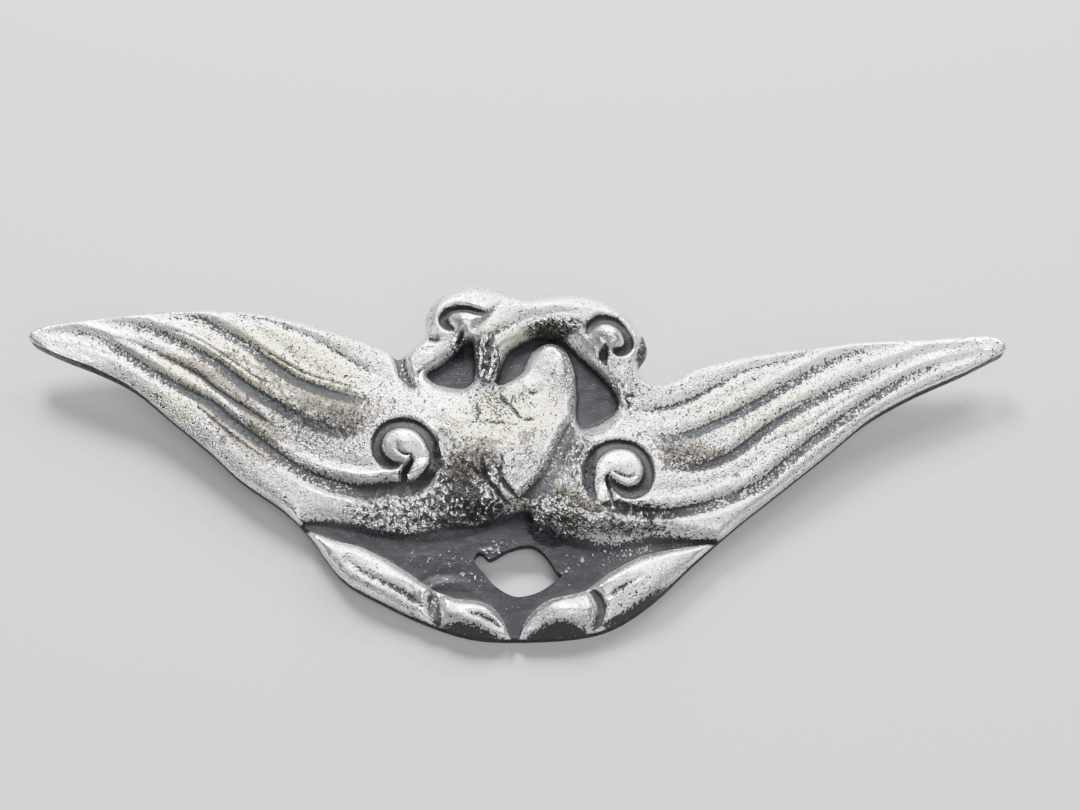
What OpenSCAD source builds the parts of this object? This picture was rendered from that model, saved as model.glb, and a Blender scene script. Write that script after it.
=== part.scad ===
// Swan brooch: two cast swans with crossed necks and spread wings, and the plain pin on the back.
//
// The casting is a height field over its own flat back plane. In that plane x runs across the
// wings, y runs up to the heads, and every height stands on the back plane. The front is a soft
// swelling from which the outline, the sunk grounds between the swans and the grooves between the
// feathers are carved. The back is the same form drawn in by the thickness of the metal.
// The brooch lies as it would by itself, on its lower border and on the pin fittings at its back,
// so the finished plane leans up at the heads.

/* [Casting] */
// Wing tip to wing tip
span = 99.4; // [92:0.2:108]
// Thickness of the cast wall, and of the sunk grounds between the swans
wall = 1.2; // [1.1:0.1:1.5]
// Height of a plain feather above the back plane
feather_h = 2.4; // [2.2:0.1:2.8]
// How strongly the breasts, necks, volutes and lobes swell above the feathers
swell = 1; // [0.7:0.1:1.2]
// Thinnest metal left under a groove
groove_floor = 0.7; // [0.6:0.1:0.9]

/* [Pin] */
// Distance from the hinge to the catch
pin_span = 29; // [24:1:32]
// Height of the pin line in the plane of the brooch
pin_y = 7.4; // [7.2:0.2:7.8]
// How far the hinge and the catch stand behind the back plane
pin_drop = 3.2; // [3.2:0.2:4.4]
// Width of the bar that carries hinge and catch
bar_w = 3.2; // [2.8:0.2:3.6]
// Thickness of the bar
bar_t = 0.8; // [0.7:0.1:1]
// Diameter of the pin wire
wire_d = 1; // [0.9:0.1:1.2]
// Solder line between the casting and the bar
seat_gap = 0.12; // [0.1:0.02:0.2]

/* [Mesh] */
// Mesh step over the heads, bodies and lobes
body_step = 0.68; // [0.68:0.02:0.9]
// Mesh step along the wings
wing_step = 1.6; // [1.6:0.1:2.2]

/* [Hidden] */
$fn = 32;

// Outline of the casting, clockwise from the left wing tip
// Columns: x, y, height of the rim, width over which the edge rounds over
OUTLINE = [
    [-49.6, 14.9, 1.3, 0.8], [-48.4, 15.8, 1.3, 0.8], [-44.8, 16.6, 1.0, 0.9], [-38.7, 17.2, 1.0, 0.9],
    [-33.5, 17.6, 1.0, 1.0], [-27.8, 17.5, 1.0, 1.1], [-22.1, 16.4, 1.0, 1.2], [-17.0, 14.7, 1.0, 1.2],
    [-13.4, 13.2, 1.0, 1.2], [-11.9, 12.3, 1.0, 1.0], [-10.3, 13.7, 0.9, 1.0], [-9.6, 14.3, 0.9, 0.8],
    [-9.2, 15.4, 0.9, 0.8], [-9.3, 16.8, 0.9, 1.0], [-8.3, 18.6, 0.9, 1.2], [-6.0, 20.0, 0.9, 1.3],
    [-3.7, 20.3, 0.9, 1.3], [-1.2, 19.4, 0.9, 1.0], [0.8, 18.5, 0.9, 1.0], [3.0, 18.8, 1.0, 1.3],
    [5.9, 19.2, 1.0, 1.5], [8.6, 18.6, 1.0, 1.5], [11.0, 17.2, 1.0, 1.4], [12.4, 15.4, 1.0, 1.2],
    [13.3, 13.2, 1.0, 1.4], [12.4, 11.5, 1.0, 1.2], [12.4, 10.2, 1.0, 1.0], [14.2, 9.4, 1.0, 1.0],
    [16.0, 9.9, 1.0, 1.1], [18.0, 11.1, 1.0, 1.2], [23.3, 12.5, 1.0, 1.1], [28.0, 13.2, 1.0, 1.0],
    [35.0, 14.0, 1.0, 0.9], [42.0, 14.4, 1.0, 0.9], [47.6, 14.7, 1.3, 0.8], [49.2, 14.3, 1.3, 0.8],
    [49.7, 13.6, 1.3, 0.8], [49.4, 12.9, 1.4, 0.8], [48.0, 12.15, 1.5, 0.8], [45.0, 10.6, 1.6, 0.8],
    [39.6, 8.1, 1.6, 0.8], [35.0, 5.4, 1.4, 0.9],
    [30.8, 1.9, 1.0, 0.9], [25.7, -2.2, 1.0, 1.0], [21.7, -5.4, 1.0, 1.0], [17.3, -9.3, 1.6, 0.9],
    [13.4, -13.0, 2.4, 0.8], [9.5, -15.6, 2.6, 0.8], [5.7, -16.6, 2.6, 0.8], [0.0, -16.9, 1.4, 0.8],
    [-4.3, -16.6, 2.2, 0.8], [-8.6, -15.2, 1.8, 0.9], [-13.0, -13.1, 1.4, 0.9], [-16.8, -10.8, 1.2, 1.0],
    [-20.0, -6.6, 1.0, 1.0], [-22.8, -3.8, 1.0, 1.0], [-27.1, -0.8, 1.0, 0.9], [-30.5, 2.3, 1.0, 0.9],
    [-34.6, 5.7, 1.2, 0.9], [-38.5, 8.9, 1.7, 0.8], [-42.1, 10.8, 2.0, 0.8], [-46.0, 12.4, 2.0, 0.8],
    [-49.1, 13.9, 1.5, 0.8]
];

// Hole through the sunk ground under the bodies. Columns: x, y
HOLE = [
    [-4.0, -8.6], [-3.4, -8.9], [-2.4, -8.5], [-1.1, -7.9], [0.2, -7.5], [1.6, -7.5], [2.6, -8.1],
    [3.4, -9.1], [4.0, -10.1], [4.5, -10.6], [3.6, -11.3], [2.2, -12.2], [0.3, -12.65], [-1.0, -12.2],
    [-2.1, -11.4], [-2.9, -10.5], [-3.7, -9.8]
];

// Sunk grounds. Columns: x, y, width over which the form beside that edge rounds up
NECK_GROUND = [
    [-8.9, 9.6, 0.8], [-8.1, 10.2, 0.8], [-7.1, 10.7, 0.8], [-6.3, 11.6, 0.8], [-5.6, 12.3, 0.8],
    [-5.1, 13.6, 0.8], [-4.4, 13.6, 0.8], [-4.2, 12.0, 1.2], [-4.1, 9.5, 1.2], [-4.1, 8.3, 1.2],
    [-6.6, 8.3, 1.6], [-8.4, 8.8, 1.2]
];
ARCH_GROUND = [
    [-1.9, 9.0, 1.2], [-1.4, 10.0, 1.2], [-1.1, 11.0, 1.2], [-0.5, 12.1, 1.2], [0.4, 12.7, 1.2],
    [1.2, 13.2, 1.2], [2.1, 13.7, 1.3], [3.2, 13.9, 1.6], [4.6, 13.5, 1.6], [5.4, 12.5, 1.2],
    [6.2, 11.5, 1.0], [7.1, 10.7, 1.0], [8.0, 9.9, 1.0], [8.6, 9.2, 1.0], [9.3, 8.4, 1.0],
    [9.9, 7.5, 1.0], [10.1, 6.4, 1.2], [9.3, 5.3, 1.8], [7.6, 4.9, 2.2], [6.4, 4.4, 1.6],
    [5.9, 5.4, 1.2], [5.7, 7.3, 1.2], [5.3, 9.4, 1.2], [4.7, 11.0, 1.2], [3.9, 12.1, 0.9],
    [3.2, 12.3, 0.9], [2.2, 11.6, 0.9], [1.4, 10.7, 1.2], [0.5, 9.4, 1.4], [-0.6, 8.6, 1.6]
];
LOWER_GROUND = [
    [-20.6, -5.3, 1.6], [-17.9, -5.5, 2.0], [-15.0, -6.2, 2.4], [-12.9, -6.7, 2.6], [-10.3, -6.8, 2.8],
    [-7.9, -6.9, 3.0], [-5.3, -6.7, 3.0], [-2.9, -6.1, 2.8], [-1.0, -4.9, 2.2], [0.4, -3.9, 1.6],
    [1.3, -4.2, 1.2], [1.7, -5.6, 1.8], [2.9, -6.7, 2.4], [4.5, -7.3, 2.6], [6.6, -7.8, 2.8],
    [8.8, -8.0, 2.8], [11.1, -7.8, 2.6], [13.4, -7.5, 2.2], [15.7, -7.3, 1.8], [18.0, -7.5, 1.4],
    [20.4, -7.5, 1.2], [18.0, -8.2, 1.2], [15.2, -8.7, 1.4], [12.4, -9.4, 1.4], [10.0, -10.1, 1.2],
    [8.5, -11.1, 1.2], [7.1, -12.1, 1.0], [6.0, -12.6, 1.0], [4.6, -12.8, 1.1], [3.4, -13.3, 1.1],
    [2.0, -14.0, 1.0], [0.9, -14.9, 0.8], [0.5, -16.3, 0.7], [0.0, -17.0, 0.7], [-0.7, -16.3, 0.7],
    [-1.0, -15.4, 0.8], [-2.1, -14.1, 1.0], [-3.1, -13.6, 1.1], [-4.6, -13.2, 1.1], [-6.2, -13.2, 1.0],
    [-7.4, -13.0, 1.0], [-8.7, -12.1, 1.1], [-10.0, -11.2, 1.2], [-11.1, -10.3, 1.2], [-12.6, -9.2, 1.2],
    [-14.5, -8.2, 1.2], [-17.0, -7.4, 1.4], [-19.2, -6.5, 1.4], [-20.8, -5.9, 1.4]
];

// Soft swellings of the front. Columns: x, y, spread along x, spread along y, rise
SWELLS = [
    [-3.0, 2.5, 8.0, 6.0, 1.9],     // left breast
    [9.0, -3.0, 8.0, 4.5, 1.5],     // right breast
    [-12.0, 2.0, 5.0, 4.0, 0.5],    // left volute
    [11.0, 0.5, 5.0, 4.0, 0.5],     // right volute
    [5.0, 17.0, 6.0, 3.5, 1.6],     // arch of the right neck
    [-3.0, 12.0, 1.8, 4.0, 1.4],    // foot of the right neck
    [9.5, 13.5, 4.0, 4.0, 1.2],     // right head
    [-5.5, 17.0, 4.0, 4.0, 0.8],    // left head
    [-12.0, -11.5, 4.5, 2.2, 0.4],  // left outer lobe
    [-4.5, -14.8, 2.6, 1.5, 1.2],   // left inner lobe
    [12.0, -11.5, 4.5, 2.2, 0.8],   // right outer lobe
    [5.0, -14.6, 2.8, 1.6, 1.3],    // right inner lobe
    [47.0, 13.0, 6.0, 6.0, -0.4],   // right wing tip
    [-47.0, 15.0, 6.0, 6.0, -0.4]   // left wing tip
];

// Grooves. Each has the width of the slope on its left hand and on its right hand, and then
// a row for each point. Columns of a row: x, y, half width of the floor, depth
GROOVES = [
    // left wing, from the lowest feather up
    [0.6, 1.6, [[-47.1, 15.1, 0.1, 0.2], [-41.0, 13.4, 0.2, 0.6], [-33.2, 8.5, 0.2, 0.7],
        [-28.2, 5.2, 0.2, 0.8], [-21.9, 0.4, 0.25, 0.9], [-18.7, -1.2, 0.35, 1.2], [-15.0, -2.1, 0.4, 1.5],
        [-10.3, -1.9, 0.4, 1.8], [-9.0, -1.3, 0.3, 1.6]]],
    [0.5, 0.8, [[-40.7, 14.2, 0.1, 0.15], [-34.6, 11.6, 0.1, 0.4], [-30.0, 8.5, 0.25, 0.5],
        [-25.0, 5.2, 0.3, 0.3]]],
    [0.6, 1.4, [[-43.5, 16.3, 0.1, 0.15], [-36.4, 14.8, 0.15, 0.7], [-30.0, 11.3, 0.2, 0.8],
        [-24.4, 7.2, 0.2, 0.8], [-17.5, 3.9, 0.15, 0.4], [-15.8, 3.4, 0.1, 0.1]]],
    [0.6, 1.4, [[-36.4, 16.9, 0.1, 0.2], [-30.0, 15.1, 0.15, 0.7], [-24.8, 11.5, 0.2, 0.8],
        [-19.1, 8.3, 0.2, 0.6], [-13.8, 6.6, 0.1, 0.1]]],
    [0.5, 1.0, [[-29.1, 16.9, 0.1, 0.1], [-21.9, 14.7, 0.15, 0.4], [-17.5, 12.1, 0.15, 0.45],
        [-12.8, 9.6, 0.1, 0.1]]],
    // right wing, from the lowest feather up
    [1.6, 0.6, [[46.6, 12.5, 0.1, 0.2], [38.7, 9.5, 0.15, 0.6], [31.7, 4.8, 0.2, 0.8],
        [26.4, 0.6, 0.2, 0.8], [21.0, -2.9, 0.25, 0.9], [14.2, -4.7, 0.25, 1.1], [9.2, -4.0, 0.2, 1.0]]],
    [1.4, 0.6, [[46.2, 13.5, 0.1, 0.1], [37.3, 10.9, 0.1, 0.5], [29.6, 7.2, 0.2, 0.7],
        [21.7, 1.8, 0.2, 0.8], [14.9, -0.2, 0.1, 0.2]]],
    [1.4, 0.6, [[39.6, 13.5, 0.1, 0.15], [31.7, 11.5, 0.15, 0.6], [25.7, 8.1, 0.2, 0.8],
        [17.3, 3.8, 0.2, 0.6], [12.2, 3.3, 0.1, 0.1]]],
    [1.1, 0.5, [[30.8, 12.8, 0.1, 0.1], [23.3, 10.6, 0.15, 0.5], [17.3, 7.3, 0.2, 0.7],
        [11.8, 6.0, 0.1, 0.15]]],
    // channel between the two bodies
    [2.0, 0.9, [[6.3, 5.8, 0.1, 0.3], [5.2, 3.6, 0.2, 0.9], [4.2, 1.3, 0.2, 1.2], [3.1, -0.8, 0.2, 1.3],
        [1.6, -2.7, 0.2, 1.3], [0.2, -3.9, 0.2, 1.1], [-1.3, -5.0, 0.2, 0.6]]],
    // edge of the left shoulder over the breast
    [0.6, 0.6, [[-9.2, 6.0, 0.1, 0.15], [-6.5, 3.5, 0.3, 0.6], [-2.9, 1.0, 0.1, 0.2]]],
    // slits under the volutes
    [0.6, 0.6, [[-11.5, -1.5, 0.4, 2.0], [-10.9, -0.7, 0.35, 2.0], [-10.3, 1.0, 0.1, 1.0]]],
    [0.5, 0.5, [[9.2, -3.5, 0.1, 0.8], [9.1, -1.2, 0.1, 1.2], [9.3, -0.5, 0.1, 0.6]]],
    // left head: ring round the eye, slit under it, pit behind it, and the line of the beak
    [0.6, 0.6, [[-2.6, 16.1, 0.3, 0.8], [-4.4, 16.9, 0.45, 1.2], [-5.6, 17.2, 0.4, 1.2],
        [-6.8, 16.7, 0.4, 1.2], [-7.25, 15.8, 0.4, 1.2], [-6.9, 15.0, 0.35, 1.2], [-6.1, 14.9, 0.25, 1.0]]],
    [0.5, 0.5, [[-5.45, 15.2, 0.1, 0.3], [-5.6, 13.8, 0.3, 1.4], [-6.0, 13.0, 0.2, 1.0]]],
    [0.4, 0.4, [[-8.6, 13.4, 0.4, 1.0], [-8.2, 13.3, 0.4, 1.0]]],
    [0.5, 0.6, [[-10.0, 9.4, 0.1, 0.5], [-9.2, 10.9, 0.1, 0.4], [-7.3, 12.2, 0.1, 0.1]]],
    [0.6, 0.6, [[-11.9, 12.4, 0.5, 1.3], [-11.2, 10.2, 0.3, 1.1], [-10.6, 9.0, 0.2, 0.7],
        [-10.0, 8.4, 0.1, 0.2]]],
    // step where the right neck crosses over the left one, and the flute along the right neck
    [0.6, 0.9, [[-4.3, 14.2, 0.2, 1.6], [-2.9, 15.9, 0.2, 1.4], [-1.1, 17.6, 0.15, 1.0],
        [1.0, 18.2, 0.2, 1.2]]],
    [0.6, 0.6, [[-3.0, 9.0, 0.25, 0.5], [-2.7, 13.5, 0.3, 0.6], [-0.4, 15.0, 0.15, 0.4],
        [2.8, 15.9, 0.15, 0.5], [6.0, 16.0, 0.3, 0.6]]],
    // right head: low ledge outside it, ring round the eye, and the slit under it
    [0.5, 0.5, [[13.1, 14.6, 0.2, 0.5], [12.9, 13.2, 0.45, 1.1], [12.4, 11.8, 0.4, 1.1]]],
    [0.6, 0.6, [[6.6, 14.5, 0.3, 0.8], [8.2, 15.5, 0.4, 1.2], [10.2, 15.0, 0.4, 1.2],
        [11.1, 13.2, 0.4, 1.2], [10.1, 12.2, 0.3, 1.0]]],
    [0.5, 0.5, [[9.1, 13.0, 0.1, 0.3], [9.1, 11.6, 0.3, 1.4], [8.8, 11.0, 0.2, 1.0]]],
    // collars between the inner and outer lobes
    [0.5, 0.5, [[-6.5, -12.6, 0.25, 1.0], [-7.7, -13.6, 0.35, 1.4], [-7.4, -15.5, 0.3, 1.2]]],
    [0.5, 0.5, [[6.5, -12.4, 0.25, 1.0], [8.0, -13.8, 0.35, 1.5], [7.8, -15.7, 0.3, 1.2]]],
    // shallow lines along the outer lobes
    [0.5, 0.5, [[-16.1, -9.4, 0.1, 0.15], [-11.1, -12.4, 0.25, 0.4], [-8.8, -13.9, 0.25, 0.5]]],
    [0.5, 0.5, [[8.9, -13.3, 0.15, 0.25], [12.0, -11.4, 0.1, 0.1]]]
];

// Ring grooves round the volutes, each a circle that winds inwards near its end
// Columns: centre x, centre y, first angle, last angle, half width of the floor
RINGS = [
    [-10.8, 1.55, -80, 245, 0.42],
    [10.05, -0.6, 252, -95, 0.5]
];
ring_r = 2.95;
ring_end_r = 1.75;
ring_depth = 1.6;
ring_slope = 0.6;
ring_turn = 0.62;
ring_steps = 18;

// Points of a smooth curve through the rows of a table, with all its columns
function curve_point(a, b, c, d, t) =
    0.5 * (2 * b + (c - a) * t + (2 * a - 5 * b + 4 * c - d) * t * t + (3 * b - a - 3 * c + d) * t * t * t);
function closed_curve(rows, pieces) =
    let (n = len(rows))
    [for (i = [0:n - 1], k = [0:pieces - 1])
        curve_point(rows[(i + n - 1) % n], rows[i], rows[(i + 1) % n], rows[(i + 2) % n], k / pieces)];
function open_curve(rows, pieces) =
    let (n = len(rows), first = 2 * rows[0] - rows[1], last = 2 * rows[n - 1] - rows[n - 2])
    concat(
        [for (i = [0:n - 2], k = [0:pieces - 1])
            curve_point(i == 0 ? first : rows[i - 1], rows[i], rows[i + 1],
                i == n - 2 ? last : rows[i + 2], k / pieces)],
        [rows[n - 1]]);
function ring_curve(ring) =
    [for (k = [0:ring_steps])
        let (f = k / ring_steps, a = ring[2] + (ring[3] - ring[2]) * f,
            r = ring_r + (ring_end_r - ring_r) * max(0, (f - ring_turn) / (1 - ring_turn)))
        [ring[0] + r * cos(a), ring[1] + r * sin(a), ring[4], ring_depth]];

// Straight pieces of a curve. Each is [start point, step to the end, length squared, start columns,
// change of the columns]
function piece(a, b) =
    let (dx = b[0] - a[0], dy = b[1] - a[1])
    [a[0], a[1], dx, dy, dx * dx + dy * dy, a[2], b[2] - a[2], a[3], b[3] - a[3]];
function closed_pieces(points) =
    [for (i = [0:len(points) - 1]) piece(points[i], points[(i + 1) % len(points)])];
function open_pieces(points) = [for (i = [0:len(points) - 2]) piece(points[i], points[i + 1])];

// Box round a curve: lowest x, highest x, lowest y, highest y
function box_of(points) =
    let (xs = [for (p = points) p[0]], ys = [for (p = points) p[1]])
    [min(xs), max(xs), min(ys), max(ys)];
function near(x, y, box, reach) =
    x > box[0] - reach && x < box[1] + reach && y > box[2] - reach && y < box[3] + reach;

OUT_POINTS = closed_curve(OUTLINE, 2);
OUT_BOX = box_of(OUT_POINTS);
size = span / (OUT_BOX[1] - OUT_BOX[0]);
HOLE_POINTS = closed_curve([for (h = HOLE) [h[0], h[1], 0, 0]], 2);
OUT_PIECES = closed_pieces(OUT_POINTS);
HOLE_PIECES = closed_pieces(HOLE_POINTS);
ground_reach = 3.2;
GROUNDS = [for (g = [NECK_GROUND, ARCH_GROUND, LOWER_GROUND])
    let (points = [for (r = g) [r[0], r[1], r[2], 0]])
    [closed_pieces(points), box_of(points)]];
CUTS = concat(
    [for (g = GROOVES)
        let (points = open_curve(g[2], 3)) [g[0], g[1], open_pieces(points), box_of(points)]],
    [for (r = RINGS)
        let (points = ring_curve(r)) [ring_slope, ring_slope, open_pieces(points), box_of(points)]]);
cut_reach = 2.2;

// Rounding over an edge: 0 at the edge, 1 from one width inwards
function rounded(t) = t >= 1 ? 1 : t <= 0 ? 0 : 1 - (1 - t) * (1 - t);

// Place along a straight piece that is nearest to the point, from 0 to 1
function along(x, y, s) = max(0, min(1, ((x - s[0]) * s[2] + (y - s[1]) * s[3]) / s[4]));
function off(x, y, s, t) = norm([x - s[0] - t * s[2], y - s[1] - t * s[3]]);

// Whether the point is inside the closed curve
function crosses(x, y, s) =
    (s[1] > y) != (s[1] + s[3] > y) && x < s[0] + s[2] * (y - s[1]) / s[3];
function inside(x, y, pieces) = len([for (s = pieces) if (crosses(x, y, s)) 1]) % 2 == 1;

// Height before anything is carved
function full_height(x, y, share) =
    feather_h + share * swell * sum_of([for (s = SWELLS)
        let (dx = (x - s[0]) / s[2], dy = (y - s[1]) / s[3], q = dx * dx + dy * dy)
        if (q < 9) s[4] * exp(-q)]);
function sum_of(list) = len(list) == 0 ? 0 : list * [for (v = list) 1];

// Depth carved by the outline, by a sunk ground and by a groove. The value grow moves each edge
// inwards, for the back of the wall, and edge_soft widens the edges so that the mesh can follow them
edge_reach = 3;
edge_soft = 1.6;
function outline_cut(x, y, full, grow, rim_share) =
    max(concat([0], [for (s = OUT_PIECES)
        if (abs(x - s[0]) < edge_reach + abs(s[2]) && abs(y - s[1]) < edge_reach + abs(s[3]))
        let (t = along(x, y, s), rim = rim_share * (s[5] + t * s[6]), width = edge_soft * (s[7] + t * s[8]))
        (full - rim) * (1 - rounded((off(x, y, s, t) - grow) / width))]));
function ground_cut(x, y, full, grow, g) =
    !near(x, y, g[1], ground_reach + grow) ? 0 :
    inside(x, y, g[0]) ? full - wall :
    max([for (s = g[0])
        let (t = along(x, y, s))
        (full - wall) * (1 - rounded((off(x, y, s, t) - grow) / (s[5] + t * s[6])))]);
function groove_cut(x, y, c) =
    !near(x, y, c[3], cut_reach) ? 0 :
    max([for (s = c[2])
        let (t = along(x, y, s), left = s[2] * (y - s[1]) - s[3] * (x - s[0]) > 0)
        (s[7] + t * s[8]) * (1 - rounded((off(x, y, s, t) - s[5] - t * s[6]) / (left ? c[0] : c[1])))]);

// Depths that meet blend softly
function blended(depths) = pow(sum_of([for (d = depths) if (d > 0) pow(d, 4)]), 0.25);
lowest_front = 0.75;
function front(x, y) =
    let (full = full_height(x, y, 1))
    max(lowest_front, full - blended(concat(
        [outline_cut(x, y, full, 0, 1)],
        [for (g = GROUNDS) ground_cut(x, y, full, 0, g)],
        [for (c = CUTS) groove_cut(x, y, c)])));
back_share = 0.85;
function back(x, y, front_h) =
    let (full = full_height(x, y, back_share))
    max(0, min(front_h - groove_floor, full - wall - blended(concat(
        [outline_cut(x, y, full, wall, 0)],
        [for (g = GROUNDS) ground_cut(x, y, full, wall, g)]))));

// Mesh lines: close together over the middle, wider apart along the wings. The rows of the mesh climb
// along the wings with the feathers, so the mesh is laid out with that climb taken off
wing_start = 13;
wing_slope = 0.45;
function climb(x) = wing_slope * max(0, abs(x) - wing_start);
EDGE_PIECES = [for (s = concat(OUT_PIECES, HOLE_PIECES))
    let (y = s[1] - climb(s[0]), end_y = s[1] + s[3] - climb(s[0] + s[2]), dy = end_y - y)
    [s[0], y, s[2], dy, s[2] * s[2] + dy * dy]];
middle_steps = 22;
middle = middle_steps * body_step;
function evenly(first, last, step) =
    let (n = ceil((last - first) / step)) [for (i = [0:n]) first + (last - first) * i / n];
mesh_margin = 0.3;
half_lines = concat([for (v = evenly(0, middle, body_step)) v],
    [for (v = evenly(middle, max(-OUT_BOX[0], OUT_BOX[1]) + mesh_margin, wing_step)) if (v > middle) v]);
XS = concat([for (i = [len(half_lines) - 1:-1:1]) -half_lines[i]], half_lines);
YS = evenly(OUT_BOX[2] - mesh_margin, OUT_BOX[3] + mesh_margin, body_step);
nx = len(XS);
ny = len(YS);

// Places where the outline and the hole cross a mesh row, and the cells whose middle is metal
function crossings(y) =
    [for (s = EDGE_PIECES) if ((s[1] > y) != (s[1] + s[3] > y)) s[0] + s[2] * (y - s[1]) / s[3]];
CELL = [for (j = [0:ny - 2])
    let (cuts = crossings((YS[j] + YS[j + 1]) / 2))
    [for (i = [0:nx - 2])
        let (x = (XS[i] + XS[i + 1]) / 2)
        len([for (c = cuts) if (c > x) 1]) % 2 == 1]];
function metal(i, j) = i >= 0 && j >= 0 && i < nx - 1 && j < ny - 1 && CELL[j][i];
function touching(i, j) = len([for (a = [i - 1, i], b = [j - 1, j]) if (metal(a, b)) 1]);

// A mesh point on the border of the metal is moved onto the nearest point of the edge
function to_edge(x, y) =
    let (offs = [for (s = EDGE_PIECES) off(x, y, s, along(x, y, s))],
        s = EDGE_PIECES[search(min(offs), offs)[0]],
        t = along(x, y, s))
    [s[0] + t * s[2], s[1] + t * s[3]];
function climbed(p) = [p[0], p[1] + climb(p[0])];
PLACES = [for (j = [0:ny - 1], i = [0:nx - 1])
    let (n = touching(i, j))
    n == 0 ? [] : climbed(n == 4 ? [XS[i], YS[j]] : to_edge(XS[i], YS[j]))];

// Points that are used, numbered in order, first on the front and then on the back
USED = [for (k = [0:len(PLACES) - 1]) if (len(PLACES[k]) == 2) k];
count = len(USED);
NUMBER = [for (k = 0, next = 0; k < len(PLACES);
    next = next + (len(PLACES[k]) == 2 ? 1 : 0), k = k + 1) next];
function at(i, j) = NUMBER[j * nx + i];
function place(i, j) = PLACES[j * nx + i];

FRONT_H = [for (k = USED) front(PLACES[k][0], PLACES[k][1])];
POINTS = concat(
    [for (n = [0:count - 1])
        let (p = PLACES[USED[n]]) [p[0], p[1], FRONT_H[n]]],
    [for (n = [0:count - 1])
        let (p = PLACES[USED[n]]) [p[0], p[1], back(p[0], p[1], FRONT_H[n])]]);

// A cell inside the border is split along its more level diagonal, which runs with the grooves. A
// cell on the border is split so that its smaller triangle is larger
function area(a, b, c) = (b[0] - a[0]) * (c[1] - a[1]) - (b[1] - a[1]) * (c[0] - a[0]);
function split(i, j) =
    let (a = place(i, j), b = place(i + 1, j), c = place(i + 1, j + 1), d = place(i, j + 1),
        na = at(i, j), nb = at(i + 1, j), nc = at(i + 1, j + 1), nd = at(i, j + 1),
        whole = touching(i, j) + touching(i + 1, j) + touching(i + 1, j + 1) + touching(i, j + 1) == 16,
        rising = whole
            ? abs(FRONT_H[na] - FRONT_H[nc]) < abs(FRONT_H[nb] - FRONT_H[nd])
            : min(area(a, b, c), area(a, c, d)) > min(area(a, b, d), area(b, c, d)))
    rising ? [[na, nb, nc], [na, nc, nd]] : [[na, nb, nd], [nb, nc, nd]];
function wall_faces(p, q) = [[p, q, p + count], [q, q + count, p + count]];
FACES = concat(
    [for (j = [0:ny - 2], i = [0:nx - 2]) if (metal(i, j)) each [for (t = split(i, j)) [t[2], t[1], t[0]]]],
    [for (j = [0:ny - 2], i = [0:nx - 2]) if (metal(i, j))
        each [for (t = split(i, j)) [t[0] + count, t[1] + count, t[2] + count]]],
    [for (j = [0:ny - 2], i = [0:nx - 2]) if (metal(i, j)) each concat(
        metal(i, j - 1) ? [] : wall_faces(at(i, j), at(i + 1, j)),
        metal(i + 1, j) ? [] : wall_faces(at(i + 1, j), at(i + 1, j + 1)),
        metal(i, j + 1) ? [] : wall_faces(at(i + 1, j + 1), at(i, j + 1)),
        metal(i - 1, j) ? [] : wall_faces(at(i, j + 1), at(i, j)))]);

// The plane leans so that the lower border and the pin fittings touch the surface together
border_y = -OUT_BOX[2] * size;
lean = atan(pin_drop / (pin_y - bar_w / 2 + border_y));
LAID_BOX = box_of([for (p = POINTS) [p[0], p[1] * cos(lean) - p[2] * sin(lean)]]) * size;
centre_x = (LAID_BOX[0] + LAID_BOX[1]) / 2;
centre_y = (LAID_BOX[2] + LAID_BOX[3]) / 2;
module laid() {
    translate([-centre_x, -centre_y, border_y * sin(lean)])
        rotate([lean, 0, 0])
            children();
}

module casting() {
    color([0.66, 0.66, 0.63])
        laid()
            scale(size)
                polyhedron(points = POINTS, faces = FACES, convexity = 8);
}

// Sizes of the pin fittings
knuckle_d = 2.4;
hook_d = 3.2;
hook_bore = 1.7;
hook_w = 2.2;
foot_w = 2.6;
end_margin = 2;
tip_l = 2.4;
tip_d = 0.3;
slot_drop = 0.2;
sunk = 0.05;
// The hook is as low as the hinge once the plane leans
wire_z = (hook_d / 2 - (border_y + pin_y) * sin(lean)) / cos(lean);

module across(d, l) {
    rotate([90, 0, 0])
        cylinder(d = d, h = l, center = true);
}

// Bar that is soldered across the back
module bar() {
    translate([0, pin_y, -seat_gap - bar_t / 2])
        cube([pin_span + 2 * end_margin, bar_w, bar_t], center = true);
}

// Hinge block with its knuckle
module hinge() {
    block_h = -wire_z - seat_gap;
    translate([pin_span / 2, pin_y, 0]) {
        translate([0, 0, wire_z + block_h / 2])
            cube([knuckle_d, bar_w, block_h], center = true);
        translate([0, 0, -pin_drop + knuckle_d / 2])
            across(knuckle_d, bar_w);
    }
}

// Catch: an open hook on a short foot
module catch() {
    foot_h = -wire_z - seat_gap - (hook_d + hook_bore) / 4;
    translate([-pin_span / 2, pin_y, 0]) {
        translate([0, 0, -seat_gap - foot_h / 2])
            cube([foot_w, hook_w, foot_h], center = true);
        translate([0, 0, wire_z])
            difference() {
                rotate([0, 90, 0])
                    cylinder(d = hook_d, h = hook_w, center = true);
                rotate([0, 90, 0])
                    cylinder(d = hook_bore, h = hook_w + 1, center = true);
                translate([0, -hook_d / 2, -slot_drop])
                    cube([hook_w + 1, hook_d, wire_d], center = true);
            }
    }
}

// Pin wire, lying in the bottom of the hook
module wire() {
    rest_z = wire_z - hook_bore / 2 + wire_d / 2 - sunk;
    translate([-pin_span / 2 - end_margin, pin_y, rest_z])
        rotate([0, 90, 0])
            cylinder(d = wire_d, h = pin_span + end_margin);
    translate([-pin_span / 2 - end_margin - tip_l, pin_y, rest_z])
        rotate([0, 90, 0])
            cylinder(d1 = tip_d, d2 = wire_d, h = tip_l);
}

module brooch_pin() {
    color([0.58, 0.58, 0.56])
        laid() {
            bar();
            hinge();
            catch();
            wire();
        }
}

casting();
brooch_pin();
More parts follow.
